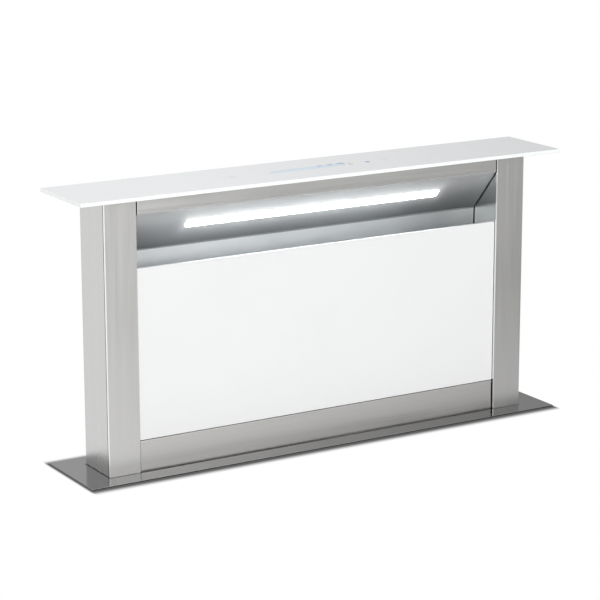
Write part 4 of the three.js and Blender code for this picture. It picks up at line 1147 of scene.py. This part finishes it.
def make_filter(name):
    """A frame round a sheet of expanded aluminium mesh, with a pull tab."""
    node = f"grease_filter_{name}"
    low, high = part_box(node)
    front = low.y + FILTER_SETBACK
    rails = add_block(f"filter_{name}_frame", (low.x, front, low.z), high)
    open_window(rails, Y, FILTER_RAIL)
    round_all(rails, FILTER_EDGE, 3)
    finish_piece(rails, "tower", "aluminium", ALUMINIUM, node)

    span = high - low - Vector((FILTER_RAIL, 0, FILTER_RAIL))
    centre = Vector(((low.x + high.x) / 2, (front + high.y) / 2, (low.z + high.z) / 2))
    reach = (span.x + span.z) / math.sqrt(2)
    cells = int(reach / FILTER_CELL)
    deselect_all()
    bpy.ops.mesh.primitive_grid_add(x_subdivisions=cells, y_subdivisions=cells, size=reach)
    mesh = bpy.context.object
    mesh.name = f"filter_{name}_mesh"
    lie = Matrix.Rotation(math.radians(90), 4, "X") @ Matrix.Rotation(math.radians(45), 4, "Z")
    mesh.data.transform(Matrix.Translation(centre) @ lie)
    start_edit(mesh, "FACE")
    for axis, side in ((X, -1), (X, 1), (Z, -1), (Z, 1)):
        outward = Vector((0, 0, 0))
        outward[axis] = side
        edge = centre + outward * span[axis] / 2
        pick_all()
        bpy.ops.mesh.bisect(plane_co=edge, plane_no=outward, clear_outer=True)
    end_edit()
    use_modifier(
        mesh, "WIREFRAME", thickness=FILTER_STRAND, use_replace=True, use_even_offset=False)
    finish_piece(mesh, "tower", "aluminium", ALUMINIUM)

    tab = add_block(
        f"filter_{name}_tab",
        (centre.x - TAB_HALF, low.y, high.z - TAB_HEIGHT),
        (centre.x + TAB_HALF, front + TAB_SEAT, high.z - TAB_SEAT))
    round_along(tab, Y, TAB_CORNER, 5)
    round_all(tab, TAB_EDGE, 3)
    finish_piece(tab, "tower", "black_plastic", BLACK)


# ------------------------------------------------------------------ lead screws

def make_thread(name, foot, height):
    """One ridge of the thread: a ring of four points swept up a helix round the Z axis."""
    root = THREAD_RADIUS - THREAD_DEPTH * THREAD_SINK
    deselect_all()
    bpy.ops.mesh.primitive_plane_add(size=1)
    ridge = bpy.context.object
    ridge.name = name
    start_edit(ridge, "FACE")
    pick_all()
    bpy.ops.mesh.delete(type="ONLY_FACE")
    end_edit()
    upright = Matrix.Rotation(math.radians(90), 4, "X")
    size = Matrix.Diagonal((THREAD_RADIUS - root, THREAD_CREST, 1, 1))
    middle = Matrix.Translation(((THREAD_RADIUS + root) / 2, 0, foot))
    ridge.data.transform(middle @ upright @ size)
    start_edit(ridge, "EDGE")
    pick_edges(lambda place, way: place.x < root + THREAD_DEPTH / 4)
    bpy.ops.transform.resize(
        value=(1, 1, THREAD_ROOT / THREAD_CREST), center_override=(root, 0, foot))
    end_edit()
    use_modifier(
        ridge, "SCREW", axis="Z", angle=2 * math.pi, steps=THREAD_STEPS, render_steps=THREAD_STEPS,
        screw_offset=THREAD_LEAD, iterations=int(height / THREAD_LEAD), use_normal_calculate=True)
    start_edit(ridge, "EDGE")
    bpy.ops.mesh.select_non_manifold()
    bpy.ops.mesh.edge_face_add()
    pick_all()
    bpy.ops.mesh.normals_make_consistent(inside=False)
    end_edit()
    return ridge


def make_lead_screw(name):
    """A four-start trapezoidal screw on its collar."""
    low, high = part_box(f"lead_screw_{name}")
    centre = ((low.x + high.x) / 2, (low.y + high.y) / 2)
    core = add_cylinder(
        f"lead_{name}", (0, 0, low.z), THREAD_RADIUS - THREAD_DEPTH, high.z - low.z, CORE_SIDES)
    collar_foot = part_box("chassis_floor")[1].z + COLLAR_LIFT
    collar = add_cylinder(
        "lead_collar", (0, 0, collar_foot), COLLAR_RADIUS, COLLAR_HEIGHT, CORE_SIDES)
    round_all(collar, COLLAR_EDGE, 2)
    foot = collar_foot + COLLAR_HEIGHT + THREAD_ROOT
    ridge = make_thread("lead_ridge", foot, high.z - THREAD_LEAD - foot)
    ridges = []
    for start in range(THREAD_STARTS):
        rise = Matrix.Translation((0, 0, THREAD_LEAD * start / THREAD_STARTS))
        ridges.append(copy_to(ridge, f"lead_ridge_{start}", rise))
    delete_piece(ridge)
    screw = join_pieces([core, collar, *ridges])
    screw.data.transform(Matrix.Translation((*centre, 0)))
    finish_piece(screw, f"{name}_screw", "turned_steel", STEEL_TURNED, f"lead_screw_{name}")


# ------------------------------------------------------------------ screws

def make_screw(name, rise):
    """A screw's head with its socket, standing on the origin and pointing up."""
    screw = add_cylinder(name, (0, 0, 0), SCREW_HEAD, rise, SCREW_SIDES)
    start_edit(screw, "FACE")
    pick_faces(lambda middle, normal: normal.z > ALONG)
    bpy.ops.mesh.inset(thickness=SCREW_HEAD - SCREW_SOCKET)
    bpy.ops.transform.translate(value=(0, 0, -rise * SOCKET_DEPTH))
    end_edit()
    bevel_edges(screw, lambda middle, way: is_across(way, Z) and middle.z > rise * ON_EDGE
                and middle.xy.length > SCREW_HEAD * ON_EDGE, rise * HEAD_ROUNDING, 3)
    return screw


def place_screws(screw, name, body, places, way):
    """Copies the screw to each place, its head turned the given way."""
    turn = Vector((0, 0, 1)).rotation_difference(Vector(way)).to_matrix().to_4x4()
    copies = [
        copy_to(screw, f"{name}_{index}", Matrix.Translation(place) @ turn)
        for index, place in enumerate(places)
    ]
    finish_piece(join_pieces(copies), body, "turned_steel", STEEL_TURNED)


def make_tower_screws():
    """Flat heads up the edges of the rear sheet and along its top. They pass the slot's seal."""
    screw = make_screw("flat_screw", FLAT_RISE)
    low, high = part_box("rear_panel")
    edges = (low.x + SCREW_INSET, high.x - SCREW_INSET)
    heights = [REAR_SCREW_FOOT + step * REAR_SCREW_PITCH for step in range(REAR_SCREW_COUNT)]
    places = [(x, high.y, z) for x in edges for z in heights]
    places += [(step * REAR_TOP_PITCH, high.y, high.z - SCREW_INSET) for step in (-1, 0, 1)]
    place_screws(screw, "rear_screw", "tower", places, (0, 1, 0))
    delete_piece(screw)


def make_chassis_screws():
    """Pan heads round the blower's cover, down the chassis's edges and on the control box."""
    screw = make_screw("pan_screw", SCREW_RISE)
    low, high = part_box("blower_box_cover")
    across = [low.x + COVER_INSET, 0, high.x - COVER_INSET]
    upright = [low.z + COVER_INSET, (low.z + high.z) / 2, high.z - COVER_INSET]
    places = [(x, low.y, z) for x in across for z in upright if not (x == 0 and z == upright[1])]
    place_screws(screw, "cover_screw", "chassis", places, (0, -1, 0))

    low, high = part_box("chassis_front_panel")
    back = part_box("chassis_rear_panel")[1].y
    edges = (low.x + SCREW_INSET, high.x - SCREW_INSET)
    pitch = (high.z - low.z - 2 * COVER_INSET) / (CHASSIS_SCREW_COUNT - 1)
    heights = [low.z + COVER_INSET + step * pitch for step in range(CHASSIS_SCREW_COUNT)]
    for name, y, way in (("front_screw", low.y, -1), ("back_screw", back, 1)):
        places = [(x, y, z) for x in edges for z in heights]
        place_screws(screw, name, "chassis", places, (0, way, 0))

    low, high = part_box("control_box")
    places = [
        (x, low.y, z)
        for x in (low.x + SCREW_INSET, high.x - SCREW_INSET)
        for z in (low.z + SCREW_INSET, high.z - SCREW_INSET)
    ]
    place_screws(screw, "control_screw", "chassis", places, (0, -1, 0))
    delete_piece(screw)


# ------------------------------------------------------------------ solids that stay

BOARD_BACKING = 8.6 * MM  # the bare board and the posts behind it
PART_MARGIN = 0.2 * MM


def control_board_finish():
    """The board's own parts told apart by where they stand on it."""
    low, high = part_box("control_board")
    # left, foot, length and height of each fitted part in millimetres, and its colour
    parts = (
        ((14, 84, 44, 38), (0.03, 0.03, 0.035, 1)),
        ((70, 92, 26, 26), (0.35, 0.12, 0.03, 1)),
        ((108, 62, 38, 64), (0.5, 0.51, 0.52, 1)),
        ((16, 46, 20, 16), (0.02, 0.09, 0.3, 1)),
        ((42, 46, 20, 16), (0.02, 0.09, 0.3, 1)),
        ((68, 46, 20, 16), (0.02, 0.09, 0.3, 1)),
        ((44, 8, 74, 16), (0.55, 0.56, 0.5, 1)),
    )
    depth = high.y - BOARD_BACKING - low.y
    regions = []
    for (left, foot, length, height), colour in parts:
        middle = (
            low.x + (left + length / 2) * MM,
            low.y + depth / 2 - MM / 2,
            low.z + (foot + height / 2) * MM)
        half = (length / 2 * MM + PART_MARGIN, depth / 2, height / 2 * MM + PART_MARGIN)
        regions.append((middle, half, colour))
    return circuit_board("board_control", regions)


def on_both_sides(*names):
    return [f"{name}_{side}" for name in names for side in ("left", "right")]


def finish_solids():
    finishes = {
        ZINC: (
            "lid_carrier", "filter_frame", "tower_base", "drive_cover", "chassis_front_panel",
            "chassis_rear_panel", "chassis_left_side", "chassis_right_side", "chassis_floor",
            "blower_box", "blower_box_cover", "blower_scroll", "control_box",
            *on_both_sides("guide_rail", "worktop_clamp")),
        WHITE_COAT: ("front_glass_carrier",),
        STEEL_CHEEK: on_both_sides("column_frame"),
        STEEL_TURNED: ("drive_shaft",),
        ALUMINIUM: ("led_board",),
        BLACK: (
            "lift_motor", "impeller", "outlet_collar", "mains_gland",
            *on_both_sides("levelling_foot")),
        GREY: (
            "blower_motor", "backdraft_flap_rear", "backdraft_flap_front",
            *on_both_sides("corner_gearbox")),
        WHITE: on_both_sides("lift_nut", "guide_shoe", "screw_bearing"),
        FOAM: ("flange_gasket",),
        RUBBER: ("slot_wiper",),
        BOARD: ("touch_board",),
        control_board_finish(): ("control_board",),
    }
    for material, nodes in finishes.items():
        for name in nodes:
            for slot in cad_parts[name].material_slots:
                slot.material = material


# ------------------------------------------------------------------ floor, light and camera

SHADOW_WEIGHT = (3.4, 1, 0)  # narrower at the flange's ends than along its front
SHADOW_CORE = 2 * MM
SHADOW_REACH = 22 * MM
SHADOW_DEPTH = 0.12
FLOOR_DROP = 0.2 * MM
FLOOR_SPREAD = (26, 180, 1)  # times the cut-out's size
FLOOR_GREY = (0.82, 0.82, 0.82, 1)
FLOOR_FADING = (-0.45, 0.9)  # metres to the right, from its first dimming to its full one
FLOOR_DIMMED = 0.45
WORLD_GREY = (0.50, 0.505, 0.51, 1)
WORLD_FADING = (0.46, 0.64)  # how far a direction points to the right
WORLD_DIMMED = 0.5
LAMP_TARGET = (0, 0, 0.2)
LAMPS = {  # place and size in metres, and watts
    "lamp_front": ((-0.7, -3.1, 1.6), (2.2, 1.6), 46),
    "lamp_sheen": ((1.1, -3.1, 0.9), (1.2, 1.2), 9),
    "lamp_side": ((-3.0, 0.4, 1.4), (1.6, 1.6), 18),
    "lamp_above": ((0.2, 0.6, 2.8), (2.4, 1.6), 18),
}


def make_floor():
    """The worktop as a pale plain floor, with its cut-out under the flange."""
    deselect_all()
    bpy.ops.mesh.primitive_plane_add(size=1, location=(0, 0, -FLOOR_DROP))
    floor = bpy.context.object
    floor.name = "floor"
    floor.scale = (CUTOUT_LENGTH, CUTOUT_DEPTH, 1)
    apply_place(floor)
    start_edit(floor, "EDGE")
    pick_all()
    bpy.ops.mesh.extrude_region_move()
    bpy.ops.transform.resize(value=FLOOR_SPREAD)
    end_edit()
    delete_faces(floor, lambda middle, normal: middle.xy.length < MM)
    floor.data.materials.append(floor_material())


def floor_material():
    """Pale floor that shows white, with a painted shadow: the soft dark line where the flange lies
    on it.
    """
    material = bpy.data.materials.new("floor_pale")
    tree, surface = start_tree(material, "ShaderNodeOutputMaterial")
    low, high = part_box("worktop_flange")
    away = use_group(
        tree, BOX_REACH, middle=(low + high) / 2, half=(high - low) / 2,
        weight=SHADOW_WEIGHT)["Distance"]
    # painted shadow: its darkness is set by the distance from the flange's box, not cast by the
    # lamps
    painted_contact_shadow = add_node(
        tree, "ShaderNodeMapRange",
        {0: away, 1: SHADOW_CORE, 2: SHADOW_REACH, 3: SHADOW_DEPTH, 4: 1.0},
        interpolation_type="SMOOTHSTEP").outputs[0]
    fading = remap(tree, object_axis(tree, X), *FLOOR_FADING, 1.0, FLOOR_DIMMED)
    tone = calculate(tree, "MULTIPLY", painted_contact_shadow, in_mirrors(tree, fading))
    white = add_node(tree, "ShaderNodeEmission", {"Color": (1, 1, 1, 1), "Strength": tone})
    matt = add_node(tree, "ShaderNodeBsdfDiffuse", {"Color": FLOOR_GREY})
    shades = {0: seen_directly(tree), 1: matt.outputs[0], 2: white.outputs[0]}
    tree.links.new(add_node(tree, "ShaderNodeMixShader", shades).outputs[0], surface)
    return material


def in_mirrors(tree, value):
    """The value for what is mirrored, and 1 for all other rays."""
    mirrored = add_node(tree, "ShaderNodeLightPath").outputs["Is Glossy Ray"]
    mix = add_node(tree, "ShaderNodeMix", {0: mirrored, 2: 1.0, 3: value}, data_type="FLOAT")
    return mix.outputs[0]


def seen_directly(tree):
    """1 for rays from the camera, a mirror or clear glass, 0 for the light that objects get."""
    path = add_node(tree, "ShaderNodeLightPath").outputs
    seen = calculate(tree, "MAXIMUM", path["Is Camera Ray"], path["Is Glossy Ray"])
    return calculate(tree, "MAXIMUM", seen, path["Is Transmission Ray"])


def make_world():
    """White all round to the eye, dimmer to the right in mirrors, and a soft grey light."""
    world = bpy.data.worlds.new("studio")
    bpy.context.scene.world = world
    tree, surface = start_tree(world, "ShaderNodeOutputWorld")
    way = add_node(tree, "ShaderNodeTexCoord").outputs["Generated"]
    rightward = add_node(tree, "ShaderNodeSeparateXYZ", {0: way}).outputs[X]
    fading = in_mirrors(tree, remap(tree, rightward, *WORLD_FADING, 1.0, WORLD_DIMMED))
    colour = blend_colours(tree, seen_directly(tree), WORLD_GREY, (1, 1, 1, 1))
    background = add_node(tree, "ShaderNodeBackground", {"Color": colour, "Strength": fading})
    tree.links.new(background.outputs[0], surface)


def make_lights():
    for name, (place, size, watts) in LAMPS.items():
        lamp = bpy.data.lights.new(name, "AREA")
        lamp.shape = "RECTANGLE"
        lamp.size, lamp.size_y = size
        lamp.energy = watts
        holder = bpy.data.objects.new(name, lamp)
        holder.location = place
        way = Vector(LAMP_TARGET) - Vector(place)
        holder.rotation_euler = way.to_track_quat("-Z", "Y").to_euler()
        bpy.context.collection.objects.link(holder)


CAMERA_PLACE = (-1.8749, -3.09, 1.1179)
CAMERA_YAW = math.radians(30.959)
CAMERA_PITCH = math.radians(13.852)
CAMERA_ROLL = math.radians(-0.117)
FRAME_PIXELS = 600
FOCAL_PIXELS = 2305.8
SENSOR = 36.0


def make_camera():
    data = bpy.data.cameras.new("camera")
    data.sensor_width = SENSOR
    data.lens = FOCAL_PIXELS * SENSOR / FRAME_PIXELS
    data.clip_start, data.clip_end = 0.1, 60
    camera = bpy.data.objects.new("camera", data)
    turn = (
        Matrix.Rotation(-CAMERA_YAW, 4, "Z")
        @ Matrix.Rotation(math.pi / 2 - CAMERA_PITCH, 4, "X")
        @ Matrix.Rotation(CAMERA_ROLL, 4, "Z"))
    camera.matrix_world = Matrix.Translation(CAMERA_PLACE) @ turn
    bpy.context.collection.objects.link(camera)
    bpy.context.scene.camera = camera
    bpy.context.scene.view_settings.view_transform = "Standard"


# ------------------------------------------------------------------ build

make_camera()
make_lid()
make_touch_marks()
for side_name, side_sign in (("left", -1), ("right", 1)):
    make_column_front(side_name)
    make_side_panel(side_name, side_sign)
    make_filter(side_name)
    make_lead_screw(side_name)
make_top_bar()
make_lower_front()
make_front_glass()
make_rear_panel()
make_duct_wall()
make_slot_light()
make_flange()
make_tower_screws()
make_chassis_screws()
finish_solids()
make_floor()
make_world()
make_lights()
